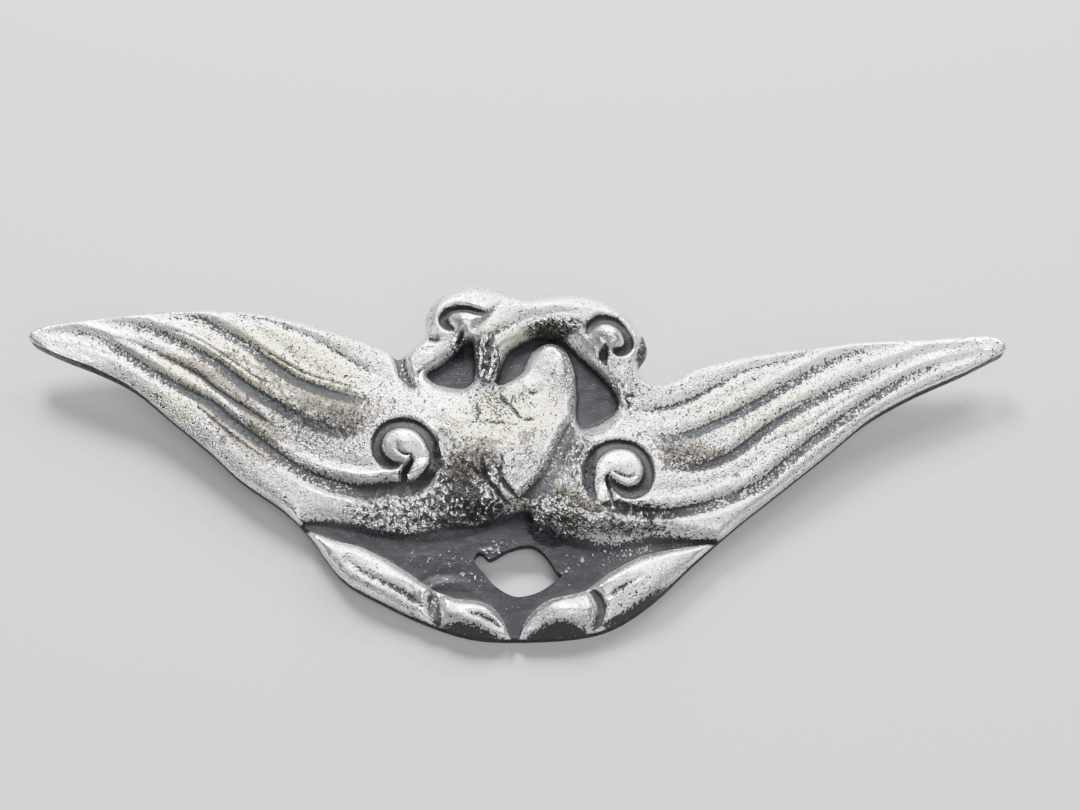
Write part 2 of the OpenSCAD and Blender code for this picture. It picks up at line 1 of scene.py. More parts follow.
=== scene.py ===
# %% [markdown]
# # A cast swan brooch
# The object is a pewter casting about 99 mm wide. Two swans cross their necks, each spreads one wing,
# and a plain pin is soldered behind them. The casting is a relief: seen from the front, each place has
# one height. It could be sculpted by hand, but then nothing could be measured or changed later. So it
# is worked out as a height over a flat plane, with soft swellings for the bodies and carved lines
# between the feathers. The plane leans up at the heads, because the brooch lies on its lower border
# and on its pin.

# %% Load the solids
import math
import time

import bpy
import numpy as np
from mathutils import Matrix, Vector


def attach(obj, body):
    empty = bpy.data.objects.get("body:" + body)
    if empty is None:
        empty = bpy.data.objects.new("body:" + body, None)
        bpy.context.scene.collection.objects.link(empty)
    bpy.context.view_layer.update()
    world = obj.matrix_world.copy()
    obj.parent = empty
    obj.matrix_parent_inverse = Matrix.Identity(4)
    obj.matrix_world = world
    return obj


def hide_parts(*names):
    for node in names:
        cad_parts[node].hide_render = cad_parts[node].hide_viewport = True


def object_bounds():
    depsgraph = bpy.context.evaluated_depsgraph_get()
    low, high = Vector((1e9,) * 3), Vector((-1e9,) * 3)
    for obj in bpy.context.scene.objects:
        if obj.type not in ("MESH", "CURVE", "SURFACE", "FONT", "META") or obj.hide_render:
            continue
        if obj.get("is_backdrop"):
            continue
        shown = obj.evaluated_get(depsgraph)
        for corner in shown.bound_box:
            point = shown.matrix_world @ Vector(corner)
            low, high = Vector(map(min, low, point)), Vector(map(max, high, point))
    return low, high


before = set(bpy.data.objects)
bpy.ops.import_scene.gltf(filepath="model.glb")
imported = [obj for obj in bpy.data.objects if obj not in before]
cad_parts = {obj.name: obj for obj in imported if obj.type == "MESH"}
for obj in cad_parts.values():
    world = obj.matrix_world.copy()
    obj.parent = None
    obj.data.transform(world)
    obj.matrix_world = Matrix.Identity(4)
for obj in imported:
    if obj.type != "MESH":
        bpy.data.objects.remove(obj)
solid_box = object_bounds()
started = time.time()
MM = 0.001
print("solids:", sorted(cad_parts))

# %% [markdown]
# ## The camera
# The photograph looks down at the brooch from 60 degrees above the surface, from about 18 cm. The long
# lens keeps both wing tips at nearly the same scale, and no shift is needed.

# %% Set the camera
camera_data = bpy.data.cameras.new("camera")
camera_data.lens = 60
camera_data.sensor_width = 36
camera_data.clip_start = 0.01
camera = bpy.data.objects.new("camera", camera_data)
camera.location = (2.36 * MM, -84.92 * MM, 161.03 * MM)
camera.rotation_euler = (math.radians(30), 0, 0)
bpy.context.collection.objects.link(camera)
bpy.context.scene.camera = camera
print("camera height in mm:", round(camera.location.z / MM, 1))

# %% [markdown]
# ## The surface and the light
# Old pewter shows its form by what it mirrors. Light from beyond the heads makes level metal shine and
# leaves the walls that face the camera dark. One lamp could do that, but its highlights would be hard
# and few. Four soft squares share the work: a small key and a side light draw edges and sparkle, a
# large low one behind glides over the wings, and a large weak one in front opens the shadows. A pale
# surrounding fills the rest.

# %% Lay the surface and hang the lights
def floor_sheet(half_width):
    """A level square around the origin, with corners at plus and minus half_width."""
    corners = [(-1, -1, 0), (1, -1, 0), (1, 1, 0), (-1, 1, 0)]
    mesh = bpy.data.meshes.new("floor")
    mesh.from_pydata([(half_width * x, half_width * y, z) for x, y, z in corners], [], [(0, 1, 2, 3)])
    return bpy.data.objects.new("floor", mesh)


def soft_light(name, place, size, power):
    """A square light of that size in metres, turned so that it faces the origin."""
    data = bpy.data.lights.new(name, "AREA")
    data.size = size
    data.energy = power
    light = bpy.data.objects.new(name, data)
    light.location = place
    light.rotation_euler = (-light.location).to_track_quat("-Z", "Y").to_euler()
    bpy.context.collection.objects.link(light)


floor = floor_sheet(1.5)
bpy.context.collection.objects.link(floor)
floor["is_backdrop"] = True
floor_paint = bpy.data.materials.new("floor_paint")
floor_paint.use_nodes = True
floor_shader = floor_paint.node_tree.nodes["Principled BSDF"]
floor_shader.inputs["Base Color"].default_value = (0.38, 0.384, 0.388, 1)
floor_shader.inputs["Roughness"].default_value = 0.9
floor_shader.inputs["Specular IOR Level"].default_value = 0.1
floor.data.materials.append(floor_paint)

# Columns: name, place in metres, side in metres, power in watts
LIGHTS = [
    ("key", (-0.08, 0.25, 0.29), 0.12, 4.6), ("fill", (0.08, -0.20, 0.36), 0.34, 1.9),
    ("back", (0.05, 0.45, 0.13), 0.36, 4.0), ("side", (0.17, 0.24, 0.28), 0.16, 2.6)]
for name, place, size, power in LIGHTS:
    soft_light(name, place, size, power)
surround = bpy.data.worlds.new("surround")
surround.use_nodes = True
background = surround.node_tree.nodes["Background"]
background.inputs["Color"].default_value = (0.95, 0.97, 1.0, 1)
background.inputs["Strength"].default_value = 0.17
bpy.context.scene.world = surround

# %% [markdown]
# ## Curves from a few measured points
# The outline and every carved line of the brooch are smooth curves through a short table of points,
# read off the photograph. Blender has its own curves, but a relief needs to ask how far any point lies
# from a line, so the curves are worked out here as plain arrays. All measures are in millimetres, in
# the plane of the brooch: x across the wings, y up to the heads.

# %% Curves, distances and insides
def smooth_curve(rows, closed, pieces):
    """Points of a smooth curve through the rows of a table, with all its columns.
    From row b to row c, with neighbours a and d, the point at share t is half of
    2b + (c - a)t + (2a - 5b + 4c - d)t^2 + (3b - a - 3c + d)t^3."""
    p = np.array(rows, float)
    if closed:
        a, b, c, d = np.roll(p, 1, 0), p, np.roll(p, -1, 0), np.roll(p, -2, 0)
    else:
        ends = np.vstack([2 * p[:1] - p[1:2], p, 2 * p[-1:] - p[-2:-1]])
        a, b, c, d = ends[:-3], ends[1:-2], ends[2:-1], ends[3:]
    a, b, c, d = a[:, None], b[:, None], c[:, None], d[:, None]
    t = (np.arange(pieces) / pieces)[None, :, None]
    cubic = 3 * b - a - 3 * c + d
    curve = 0.5 * (2 * b + (c - a) * t + (2 * a - 5 * b + 4 * c - d) * t**2 + cubic * t**3)
    curve = curve.reshape(-1, p.shape[1])
    return np.vstack([curve, curve[:1] if closed else p[-1:]])


def nearest(x, y, curve):
    """For each point: its distance from the curve, whether it lies on the curve's left hand, the
    curve's other columns at the nearest place, and that place. On a straight piece from p to q the
    nearest place is p + t(q - p), with t the share of q - p that the point covers, kept in 0 to 1."""
    best = np.full(x.shape, 1e9)
    left = np.zeros(x.shape, bool)
    extra = np.zeros((curve.shape[1] - 2,) + x.shape)
    foot = np.zeros((2,) + x.shape)
    for p, q in zip(curve[:-1], curve[1:]):
        dx, dy = q[0] - p[0], q[1] - p[1]
        t = np.clip(((x - p[0]) * dx + (y - p[1]) * dy) / (dx * dx + dy * dy + 1e-12), 0, 1)
        fx, fy = p[0] + t * dx, p[1] + t * dy
        off = np.hypot(x - fx, y - fy)
        closer = off < best
        best = np.where(closer, off, best)
        left = np.where(closer, dx * (y - p[1]) - dy * (x - p[0]) > 0, left)
        extra = np.where(closer, p[2:, None] + t * (q - p)[2:, None], extra)
        foot = np.where(closer, np.stack([fx, fy]), foot)
    return best, left, extra, foot


def inside(x, y, curve):
    """True where a level ray to the right crosses the closed curve an odd number of times."""
    odd = np.zeros(x.shape, bool)
    for p, q in zip(curve[:-1], curve[1:]):
        if p[1] != q[1]:
            spans = (p[1] > y) != (q[1] > y)
            odd ^= spans & (x < p[0] + (q[0] - p[0]) * (y - p[1]) / (q[1] - p[1]))
    return odd


def rounded(t):
    """A quarter circle: 0 at an edge, 1 from one width inwards, the root of 1 - (1 - t)^2."""
    t = np.clip(t, 0, 1)
    return np.sqrt(1 - (1 - t) ** 2)


def eased(t):
    """A soft slope with a hollow foot and a round shoulder: 3t^2 - 2t^3."""
    t = np.clip(t, 0, 1)
    return t * t * (3 - 2 * t)


print("a quarter of the way in, a rounded edge has risen", round(float(rounded(0.25)), 2),
      "and an eased one", round(float(eased(0.25)), 2))

# %% [markdown]
# ## The outline and the hole
# The rim of a cast brooch isn't a sharp cut. At each point of the outline the table gives the height
# of the rim's wall and the width over which the front rolls down to it.

# %% Outline and hole. Columns: x, y, height of the rim, width of the roll
OUTLINE = [
    [-49.6, 14.9, 1.6, 0.6], [-48.4, 15.8, 1.4, 0.7], [-44.8, 16.6, 1, 0.9], [-38.7, 17.2, 1, 0.9],
    [-33.5, 17.6, 1, 1], [-27.8, 17.5, 1, 1.1], [-22.1, 16.4, 1, 1.2], [-17, 14.7, 1, 1.2],
    [-13.4, 13.2, 1, 1.2], [-11.9, 12.3, 1, 1.4], [-10.3, 13.7, 0.9, 1.2], [-9.6, 14.3, 0.9, 1.2],
    [-9.2, 15.4, 1.45, 1.2], [-9.3, 16.8, 1.45, 1.4], [-8.3, 18.6, 1.45, 1.7], [-6, 20, 1.45, 1.8],
    [-3.7, 20.3, 1.45, 1.8], [-1.2, 19.4, 1.45, 1.5], [0.8, 18.5, 1.45, 1.3], [3, 18.8, 1.55, 1.9],
    [5.9, 19.2, 1.55, 2.3], [8.6, 18.6, 1.55, 2.3], [11, 17.2, 1.55, 2], [12.4, 15.4, 1, 1.8],
    [13.3, 13.2, 1, 1.4], [12.4, 11.5, 1, 1.2], [12.4, 10.2, 1, 1], [14.2, 9.4, 1, 1], [16, 9.9, 1, 1.1],
    [18, 11.1, 1, 1.2], [23.3, 12.5, 1, 1.1], [28, 13.2, 1, 1], [35, 14, 1, 0.9], [42, 14.4, 1, 0.9],
    [47.6, 14.75, 1.4, 0.7], [49.2, 14.35, 1.5, 0.6], [49.7, 13.6, 1.6, 0.6], [49.4, 12.9, 1.7, 0.7],
    [48, 12.15, 1.8, 0.9], [45, 10.6, 1.6, 1.3], [39.6, 8.1, 1.6, 1.3], [35, 5.4, 1.4, 1.3],
    [30.8, 1.9, 1, 1.3], [25.7, -2.2, 1, 1.3], [21.7, -5.4, 1, 1], [17.3, -9.3, 1.6, 1.2],
    [13.4, -13, 1.5, 1.4], [9.5, -15.6, 1.5, 1.8], [5.7, -16.6, 1.5, 2], [0, -16.9, 1.4, 0.8],
    [-4.3, -16.6, 1.6, 1.5], [-8.6, -15.2, 1.3, 1.3], [-13, -13.1, 1.4, 1.2], [-16.8, -10.8, 1.2, 1],
    [-20, -6.6, 1, 1], [-22.8, -3.8, 1, 1], [-27.1, -0.8, 1.2, 1.5], [-30.5, 2.3, 1.2, 1.5],
    [-34.6, 5.7, 1.2, 1.5], [-38.5, 8.9, 1.8, 1.5], [-42.1, 10.8, 2.2, 1.5], [-46, 12.4, 2.2, 1.5],
    [-49.1, 13.95, 1.8, 0.8]]
# Columns: x, y
HOLE = [
    [-3.98, -8.7], [-3.65, -8.2], [-3.15, -8.3], [-2.75, -8.75], [-2.4, -8.85], [-1.8, -8.55],
    [-1, -8.05], [0.2, -7.6], [1.6, -7.5], [2.6, -8.1], [3.4, -9.1], [4, -10.1], [4.5, -10.6],
    [3.6, -11.3], [2.2, -12.2], [0.3, -12.65], [-1, -12.2], [-2.1, -11.4], [-2.95, -10.4], [-3.55, -9.7],
    [-3.93, -9.2]]
outline = smooth_curve(OUTLINE, True, 4)
hole = smooth_curve(HOLE, True, 4)
print("outline spans", round(float(np.ptp(outline[:, 0])), 1), "mm across the wings")

# %% [markdown]
# ## The sunk grounds
# Between the necks, under their arch and under the bodies the metal is sunk to a thin flat ground. It
# kept the dark patina that was rubbed off everywhere else. The last column says over what width the
# form beside the ground rounds up.

# %% Sunk grounds. Columns: x, y, width of the rounding
NECK_GROUND = [
    [-8.9, 10.1, 1], [-8.7, 10.7, 1], [-7.9, 11.1, 1.1], [-6.6, 12.2, 1.1], [-5.75, 13, 0.9],
    [-5.3, 13.5, 0.6], [-4.9, 13.8, 0.45], [-4.5, 13.5, 0.55], [-4.35, 12.8, 0.9], [-4.25, 12, 1],
    [-4.2, 10.8, 1], [-4.3, 9.6, 1], [-4.9, 9, 1.2], [-5.7, 8.9, 1.5], [-7.9, 9.3, 1.4]]
ARCH_GROUND = [
    [-1.9, 9.2, 0.9], [-1.7, 10.4, 0.9], [-1.2, 11.7, 0.9], [-0.6, 12.9, 0.9], [0.6, 13.7, 1],
    [1.9, 14.3, 1.3], [3, 14.4, 1.7], [4.4, 14, 1.7], [5.4, 13.2, 1.6], [6.3, 12.2, 1.3],
    [7.2, 11.4, 1.1], [7.9, 10.7, 0.8], [8.5, 10.1, 0.8], [9.2, 9.3, 0.8], [9.9, 8.2, 0.8],
    [10.2, 7.1, 0.9], [9.6, 6, 1.5], [8, 5.1, 2.2], [6.6, 4.6, 1.6], [6.1, 5.6, 1.2], [6.15, 7.6, 1.2],
    [6.1, 9.1, 1.3], [5.95, 10.6, 1.3], [5.5, 12.1, 1.3], [4.7, 13.2, 1.3], [3.6, 13.7, 1.3],
    [2.5, 13.5, 1.3], [1.6, 12.8, 1.3], [1, 11.8, 1.3], [0.6, 10.7, 1.2], [-0.2, 9.9, 1.2],
    [-1.3, 9.2, 1.1]]
LOWER_GROUND = [
    [-20.6, -5.3, 2], [-17.9, -5.6, 2.5], [-15, -6.25, 3], [-12.7, -6.8, 3.3], [-10.3, -7.1, 3.5],
    [-7.9, -7.1, 3.6], [-5.3, -6.7, 3.6], [-2.9, -6, 3.3], [-0.8, -5.2, 2.6], [0.7, -4.3, 1.8],
    [1.5, -4.9, 1.8], [2.1, -5.8, 2.2], [2.9, -6.4, 2.6], [4.5, -7.2, 3], [6.6, -7.9, 3.2],
    [8.8, -8.1, 3.2], [11.1, -7.75, 3], [13.4, -7.4, 2.6], [15.7, -7.1, 2], [18, -7.1, 1.6],
    [20.4, -7.2, 1.2], [17, -7.7, 1], [14, -8.2, 1.1], [11.9, -8.8, 1.2], [9.8, -9.9, 1.1],
    [8.3, -10.9, 1], [7.2, -11.8, 0.8], [6.6, -12.2, 0.8], [5.9, -12.4, 0.9], [4.4, -12.7, 1],
    [3.1, -13.1, 1], [1.9, -14, 0.9], [1.05, -14.9, 0.8], [0.7, -15.7, 0.6], [0.5, -16.5, 0.5],
    [0, -17.2, 0.5], [-0.55, -16.5, 0.5], [-0.8, -15.7, 0.6], [-1.3, -14.7, 0.8], [-2.1, -13.8, 0.9],
    [-3.2, -13.2, 1], [-4.6, -13, 1], [-5.8, -12.9, 0.9], [-6.7, -12.5, 0.8], [-8, -12, 0.9],
    [-9.3, -11, 1.1], [-10.8, -10, 1.2], [-12.3, -9, 1.2], [-13.9, -8.2, 1.2], [-15.2, -7.6, 1.2],
    [-17, -7.2, 1.2], [-19.2, -6.4, 1.2], [-20.8, -5.9, 1.2]]
grounds = [smooth_curve(rows, True, 2) for rows in (NECK_GROUND, ARCH_GROUND, LOWER_GROUND)]
print("grounds:", len(grounds))

# %% [markdown]
# ## The swellings
# Breasts, necks, heads, volutes and lobes swell softly above the level of the feathers. Each is a
# bell shape: its rise fades with the square of the distance from its middle.

# %% Swellings. Columns: x, y, spread along x, spread along y, rise
feather_level = 2.4
SWELLS = [
    [-3, 2.5, 8, 6, 1.9], [9, -3, 8, 4.5, 1.5], [-12, 2, 5, 4, 0.5], [11, 0.5, 5, 4, 0.5],
    [5, 17, 6, 3.5, 1.6], [-3, 12, 1.8, 4, 1.4], [9.5, 13.5, 4, 4, 1.2], [-5.5, 17, 4, 4, 0.8],
    [-9, 11.5, 2, 2, 0.2], [10.8, 8.5, 2, 3, 0.3], [-12, -11.5, 4.5, 2.2, 0.4],
    [-4.5, -14.8, 2.6, 1.5, 1.2], [12, -11.5, 4.5, 2.2, 0.8], [5, -14.6, 2.8, 1.6, 1.3],
    [47, 13, 6, 6, -0.4], [-47, 15, 6, 6, -0.4], [-5.35, 15.4, 1.25, 1.05, 0.95],
    [9.4, 13.55, 1.5, 1.1, 0.95], [-10.9, 2.6, 1.7, 1.6, 0.35], [10.3, 0.4, 1.7, 1.6, 0.35],
    [3.6, 10.6, 1.4, 2.6, 0.5]]


def swelled(x, y, share):
    """The height before carving: the feather level plus, for each swelling, its rise times e to the
    minus (distance / spread) squared."""
    height = np.full(x.shape, feather_level)
    for cx, cy, sx, sy, rise in SWELLS:
        height = height + share * rise * np.exp(-(((x - cx) / sx) ** 2) - ((y - cy) / sy) ** 2)
    return height


print("highest swelling:", round(float(swelled(np.array([-2.0]), np.array([2.5]), 1)[0]), 2), "mm")

# %% [markdown]
# ## The carved lines
# A feather on this brooch is the space between two grooves. A groove has a floor and two slopes, and
# they differ: it drops steeply from the crest of one feather and rises gently onto the next. The coils
# of the volutes and heads, the collars of the lobes and the cracks and creases of the breast are
# grooves too. Cutting them with booleans would leave hard walls, so each is a curve with a width and a
# depth that change along it, and the relief is lowered round it.

# %% Carved lines. Each: width of the slope on the left hand and on the right hand, rows
# Columns of a row: x, y, half width of the floor, depth
GROOVES = {
    "left wing, lowest groove": (0.75, 1.1, [
        [-47.1, 15.1, 0.09, 0.08], [-43.9, 14.7, 0.13, 0.2], [-41, 13.4, 0.16, 0.24],
        [-37.3, 11, 0.16, 0.28], [-33.2, 8.5, 0.16, 0.28], [-30.5, 7.1, 0.2, 0.32],
        [-28.2, 5.2, 0.2, 0.32], [-25.5, 3.1, 0.22, 0.32], [-21.9, 0.4, 0.28, 0.36],
        [-18.7, -1.2, 0.38, 0.58], [-15, -2.1, 0.44, 0.72], [-12, -1.9, 0.44, 0.82],
        [-10.3, -1.9, 0.44, 0.86], [-9, -1.3, 0.32, 0.77]]),
    "left wing, fine line at the tip": (0.3, 0.3, [
        [-43, 13.1, 0.05, 0.06], [-39.1, 11.6, 0.07, 0.15], [-36.9, 10.3, 0.05, 0.12]]),
    "left wing, lowest fine line": (0.3, 0.3, [
        [-36, 9.9, 0.05, 0.06], [-31.6, 6.5, 0.07, 0.15], [-28.7, 4, 0.1, 0.18],
        [-26.6, 2.4, 0.12, 0.18], [-23.2, 0.1, 0.1, 0.12]]),
    "left wing, half groove": (0.3, 0.8, [
        [-40.7, 14.2, 0.04, 0.08], [-37.8, 13.2, 0.05, 0.19], [-34.6, 11.6, 0.05, 0.22],
        [-31.9, 10.1, 0.07, 0.28], [-30, 8.5, 0.11, 0.28], [-27.1, 6.5, 0.14, 0.25],
        [-25, 5.2, 0.14, 0.17]]),
    "left wing, second groove": (0.75, 1.1, [
        [-43.5, 16.3, 0.07, 0.06], [-39.6, 15.8, 0.13, 0.2], [-36.4, 14.8, 0.16, 0.28],
        [-33.2, 13.2, 0.16, 0.28], [-30, 11.3, 0.2, 0.32], [-27.3, 9.1, 0.22, 0.32],
        [-24.4, 7.2, 0.22, 0.32], [-21, 5.2, 0.22, 0.28], [-17.5, 3.9, 0.16, 0.16],
        [-15.8, 3.4, 0.1, 0.04]]),
    "left wing, second fine line": (0.3, 0.3, [
        [-37.1, 15.6, 0.03, 0.06], [-32.8, 14.2, 0.03, 0.15], [-29.1, 11.9, 0.04, 0.18],
        [-26, 9.7, 0.04, 0.18], [-24.6, 9.2, 0.03, 0.09]]),
    "left wing, third groove": (0.75, 1.1, [
        [-36.4, 16.9, 0.07, 0.08], [-33, 16.5, 0.13, 0.2], [-30, 15.1, 0.16, 0.28],
        [-27.3, 13.4, 0.2, 0.32], [-24.8, 11.5, 0.22, 0.32], [-22.3, 9.7, 0.22, 0.32],
        [-19.1, 8.3, 0.2, 0.24], [-16, 7.4, 0.16, 0.16], [-13.8, 6.6, 0.1, 0.04]]),
    "left wing, third fine line": (0.3, 0.3, [
        [-30.5, 15.6, 0.03, 0.06], [-26.6, 13.4, 0.03, 0.15], [-23.9, 11.8, 0.05, 0.18],
        [-21.4, 10.3, 0.06, 0.18], [-18.2, 9.2, 0.05, 0.15], [-15.4, 8.2, 0.03, 0.06]]),
    "left wing, top groove": (0.75, 0.9, [
        [-29.1, 16.9, 0.03, 0.05], [-26, 16.3, 0.05, 0.16], [-21.9, 14.7, 0.06, 0.18],
        [-19.6, 13.5, 0.07, 0.23], [-17.5, 12.1, 0.07, 0.21], [-15, 10.6, 0.06, 0.14],
        [-12.8, 9.6, 0.04, 0.05]]),
    "right wing, lowest groove": (1.1, 0.75, [
        [46.6, 12.5, 0.09, 0.08], [42, 11.1, 0.13, 0.2], [38.7, 9.5, 0.16, 0.24], [35.4, 7.4, 0.2, 0.28],
        [31.7, 4.8, 0.22, 0.32], [28.9, 2.7, 0.24, 0.32], [26.4, 0.6, 0.24, 0.32],
        [24, -1.5, 0.28, 0.36], [21, -2.9, 0.28, 0.36], [17.7, -4.1, 0.28, 0.4],
        [14.2, -4.7, 0.28, 0.53], [11.1, -4.4, 0.28, 0.58], [9.2, -4, 0.22, 0.4]]),
    "right wing, second groove": (1.1, 0.75, [
        [46.2, 13.5, 0.06, 0.04], [40.8, 12.3, 0.1, 0.16], [37.3, 10.9, 0.13, 0.2],
        [34, 9.5, 0.16, 0.24], [29.6, 7.2, 0.2, 0.28], [25.2, 4.6, 0.22, 0.32], [21.7, 1.8, 0.24, 0.32],
        [18.4, 0.3, 0.2, 0.24], [14.9, -0.2, 0.13, 0.08]]),
    "right wing, fine line over the second": (0.3, 0.3, [
        [35, 10.4, 0.03, 0.06], [30.8, 8.3, 0.04, 0.18], [27.1, 6.5, 0.04, 0.18], [25.2, 5.8, 0.03, 0.06]]),
    "right wing, fine line under the second": (0.3, 0.3, [
        [35, 8.3, 0.03, 0.06], [31.7, 6.5, 0.04, 0.15], [28.7, 4.4, 0.05, 0.15], [25.4, 3, 0.05, 0.15],
        [23.2, 1.7, 0.03, 0.06]]),
    "right wing, third groove": (1.1, 0.75, [
        [39.6, 13.5, 0.07, 0.06], [35, 12.8, 0.13, 0.2], [31.7, 11.5, 0.16, 0.24], [28.9, 10, 0.2, 0.28],
        [25.7, 8.1, 0.22, 0.32], [23.3, 6.7, 0.24, 0.32], [20.5, 5.2, 0.22, 0.32],
        [17.3, 3.8, 0.2, 0.24], [14, 3.2, 0.16, 0.16], [12.2, 3.3, 0.1, 0.04]]),
    "right wing, top groove": (0.9, 0.75, [
        [30.8, 12.8, 0.03, 0.05], [27.1, 11.6, 0.07, 0.21], [23.3, 10.6, 0.1, 0.26],
        [20.3, 9, 0.12, 0.32], [17.3, 7.3, 0.13, 0.37], [14.5, 6.4, 0.12, 0.32], [11.8, 6, 0.07, 0.08]]),
    "channel between the bodies": (2.4, 1, [
        [6.3, 6, 0.05, 0.25], [5.3, 4.2, 0.1, 0.55], [4.55, 2.6, 0.1, 0.8], [3.9, 0.9, 0.1, 0.9],
        [3.1, -0.7, 0.1, 0.95], [2.2, -2, 0.1, 0.95], [1.1, -3.1, 0.1, 0.9], [-0.1, -4.1, 0.1, 0.8],
        [-1.3, -5, 0.1, 0.5]]),
    "edge of the left shoulder": (1.2, 1.2, [
        [-9.2, 6, 0.03, 0.04], [-7.6, 4.6, 0.09, 0.15], [-6.5, 3.5, 0.09, 0.18], [-5.5, 2.4, 0.07, 0.15],
        [-4.6, 1.6, 0.06, 0.12], [-2.9, 1, 0.03, 0.06]]),
    "long crack on the left breast": (0.3, 0.3, [
        [-3.2, 0.6, 0.06, 0.2], [-3.1, -0.2, 0.1, 0.35], [-2.9, -1.3, 0.12, 0.45],
        [-2.3, -2.1, 0.1, 0.4], [-1.1, -3.4, 0.1, 0.35], [0.3, -4.1, 0.06, 0.12]]),
    "short crack on the left breast": (0.3, 0.3, [
        [-1.3, 0.8, 0.05, 0.12], [-1.3, 0.1, 0.12, 0.38], [-1.45, -1, 0.18, 0.45],
        [-1.05, -1.9, 0.18, 0.45], [-0.3, -2.8, 0.14, 0.4], [0.6, -3.5, 0.06, 0.12]]),
    "slit under the left volute": (0.25, 0.25, [
        [-10.3, 1.25, 0.04, 0.4], [-10.2, 0.55, 0.12, 1.1], [-10.55, -0.2, 0.26, 1.5],
        [-10.9, -1.1, 0.3, 1.6], [-11, -2, 0.24, 1]]),
    "crease in the left volute": (0.25, 0.25, [
        [-11.7, 2.5, 0.04, 0.2], [-11.6, 1.9, 0.07, 0.3], [-10.95, 1.35, 0.07, 0.35],
        [-10.2, 1.3, 0.04, 0.2]]),
    "slit in the right volute": (0.2, 0.2, [
        [9.2, -0.5, 0.03, 0.3], [8.88, -1.3, 0.08, 0.9], [9.05, -2.2, 0.12, 1], [9.4, -3.4, 0.1, 0.7]]),
    "crease in the right volute": (0.22, 0.22, [
        [9.45, -0.6, 0.04, 0.2], [10.2, -1, 0.07, 0.35], [10.9, -1.3, 0.07, 0.35],
        [11.6, -1.1, 0.04, 0.2]]),
    "ring of the left head": (0.4, 0.4, [
        [-2.9, 16.85, 0.1, 0.2], [-3.5, 16.75, 0.25, 0.5], [-4.2, 16.85, 0.33, 0.66],
        [-5.15, 17.1, 0.35, 0.7], [-6.3, 17.05, 0.35, 0.7], [-7.05, 16.65, 0.35, 0.7],
        [-7.4, 16, 0.34, 0.7], [-7.1, 15.35, 0.31, 0.65], [-6.4, 15, 0.15, 0.4]]),
    "slit under the left eye": (0.25, 0.25, [
        [-5.33, 14.9, 0.04, 0.3], [-5.42, 14.35, 0.08, 0.8], [-5.56, 13.7, 0.14, 1],
        [-5.9, 13.1, 0.12, 0.7], [-6.4, 12.5, 0.08, 0.3]]),
    "pit behind the left head": (0.5, 0.5, [
        [-8.7, 13.9, 0.15, 0.4], [-8.1, 13.85, 0.15, 0.5]]),
    "line of the left beak": (0.25, 0.35, [
        [-9.9, 9.5, 0.05, 0.25], [-9.8, 10, 0.08, 0.35], [-9.3, 10.5, 0.06, 0.35],
        [-8.3, 11.4, 0.04, 0.25], [-7.2, 12, 0.03, 0.1]]),
    "low web beside the left beak": (0.7, 0.7, [
        [-11.9, 12.4, 0.5, 0.98], [-11.6, 11.2, 0.35, 0.9], [-11.2, 10, 0.3, 0.83],
        [-10.6, 9, 0.2, 0.52], [-10, 8.4, 0.1, 0.15]]),
    "step beside the crossing neck": (0.6, 0.8, [
        [-4.15, 15, 0.08, 0.4], [-3.7, 15.5, 0.12, 0.45], [-3.1, 16.2, 0.15, 0.4],
        [-2.4, 17, 0.12, 0.25], [-1.8, 17.6, 0.1, 0.15], [-1, 18.6, 0.08, 0.1]]),
    "flute along the crossing neck": (0.8, 0.7, [
        [-3.1, 9.2, 0.2, 0.15], [-3.05, 11, 0.25, 0.25], [-2.9, 12.6, 0.25, 0.25],
        [-2.3, 13.8, 0.2, 0.23], [-1.2, 14.8, 0.12, 0.17], [0.6, 15.7, 0.1, 0.15], [2.8, 16, 0.12, 0.17],
        [4.4, 16.2, 0.15, 0.15], [6, 16, 0.15, 0.1]]),
    "ring of the right head": (0.5, 0.65, [
        [7.2, 14.7, 0.2, 0.34], [7.6, 15.4, 0.31, 0.61], [8.5, 15.95, 0.37, 0.68],
        [9.7, 15.8, 0.37, 0.68], [10.6, 15.1, 0.37, 0.68], [11.15, 14.15, 0.37, 0.68],
        [11.35, 13.2, 0.35, 0.68], [10.9, 12.55, 0.29, 0.68], [10.2, 12.45, 0.24, 0.61],
        [9.8, 12.8, 0.12, 0.34]]),
    "crease in the right eye": (0.25, 0.25, [
        [8.6, 13.75, 0.04, 0.15], [9, 13.45, 0.08, 0.3], [9.6, 13.6, 0.04, 0.15]]),
    "slit under the right eye": (0.3, 0.3, [
        [9, 13.4, 0.05, 0.15], [8.95, 12.7, 0.2, 0.6], [8.8, 12, 0.35, 0.75], [8.75, 11.4, 0.28, 0.6],
        [8.95, 10.8, 0.1, 0.2]]),
    "upper line of the right beak": (0.25, 0.25, [
        [10.9, 7.4, 0.08, 0.2], [11.5, 7.7, 0.12, 0.3], [11.9, 7.3, 0.06, 0.15]]),
    "lower line of the right beak": (0.25, 0.25, [
        [10.9, 7.3, 0.08, 0.2], [11.3, 6.6, 0.12, 0.3], [10.8, 5.9, 0.06, 0.15]]),
    "ledge outside the right head": (0.7, 0.7, [
        [13, 14.6, 0.15, 0.4], [12.8, 13.2, 0.25, 0.75], [12.4, 11.8, 0.25, 0.75]]),
    "collar between the left lobes": (1, 0.6, [
        [-5.4, -12.1, 0.06, 0.21], [-6.6, -12.3, 0.18, 0.56], [-7.5, -12.7, 0.29, 0.77],
        [-7.9, -13.5, 0.32, 0.84], [-7.9, -14.4, 0.32, 0.84], [-7.6, -15.3, 0.2, 0.7]]),
    "collar between the right lobes": (0.5, 0.9, [
        [6.1, -12.1, 0.06, 0.22], [7.4, -12.5, 0.22, 0.75], [8.1, -13.4, 0.26, 0.9],
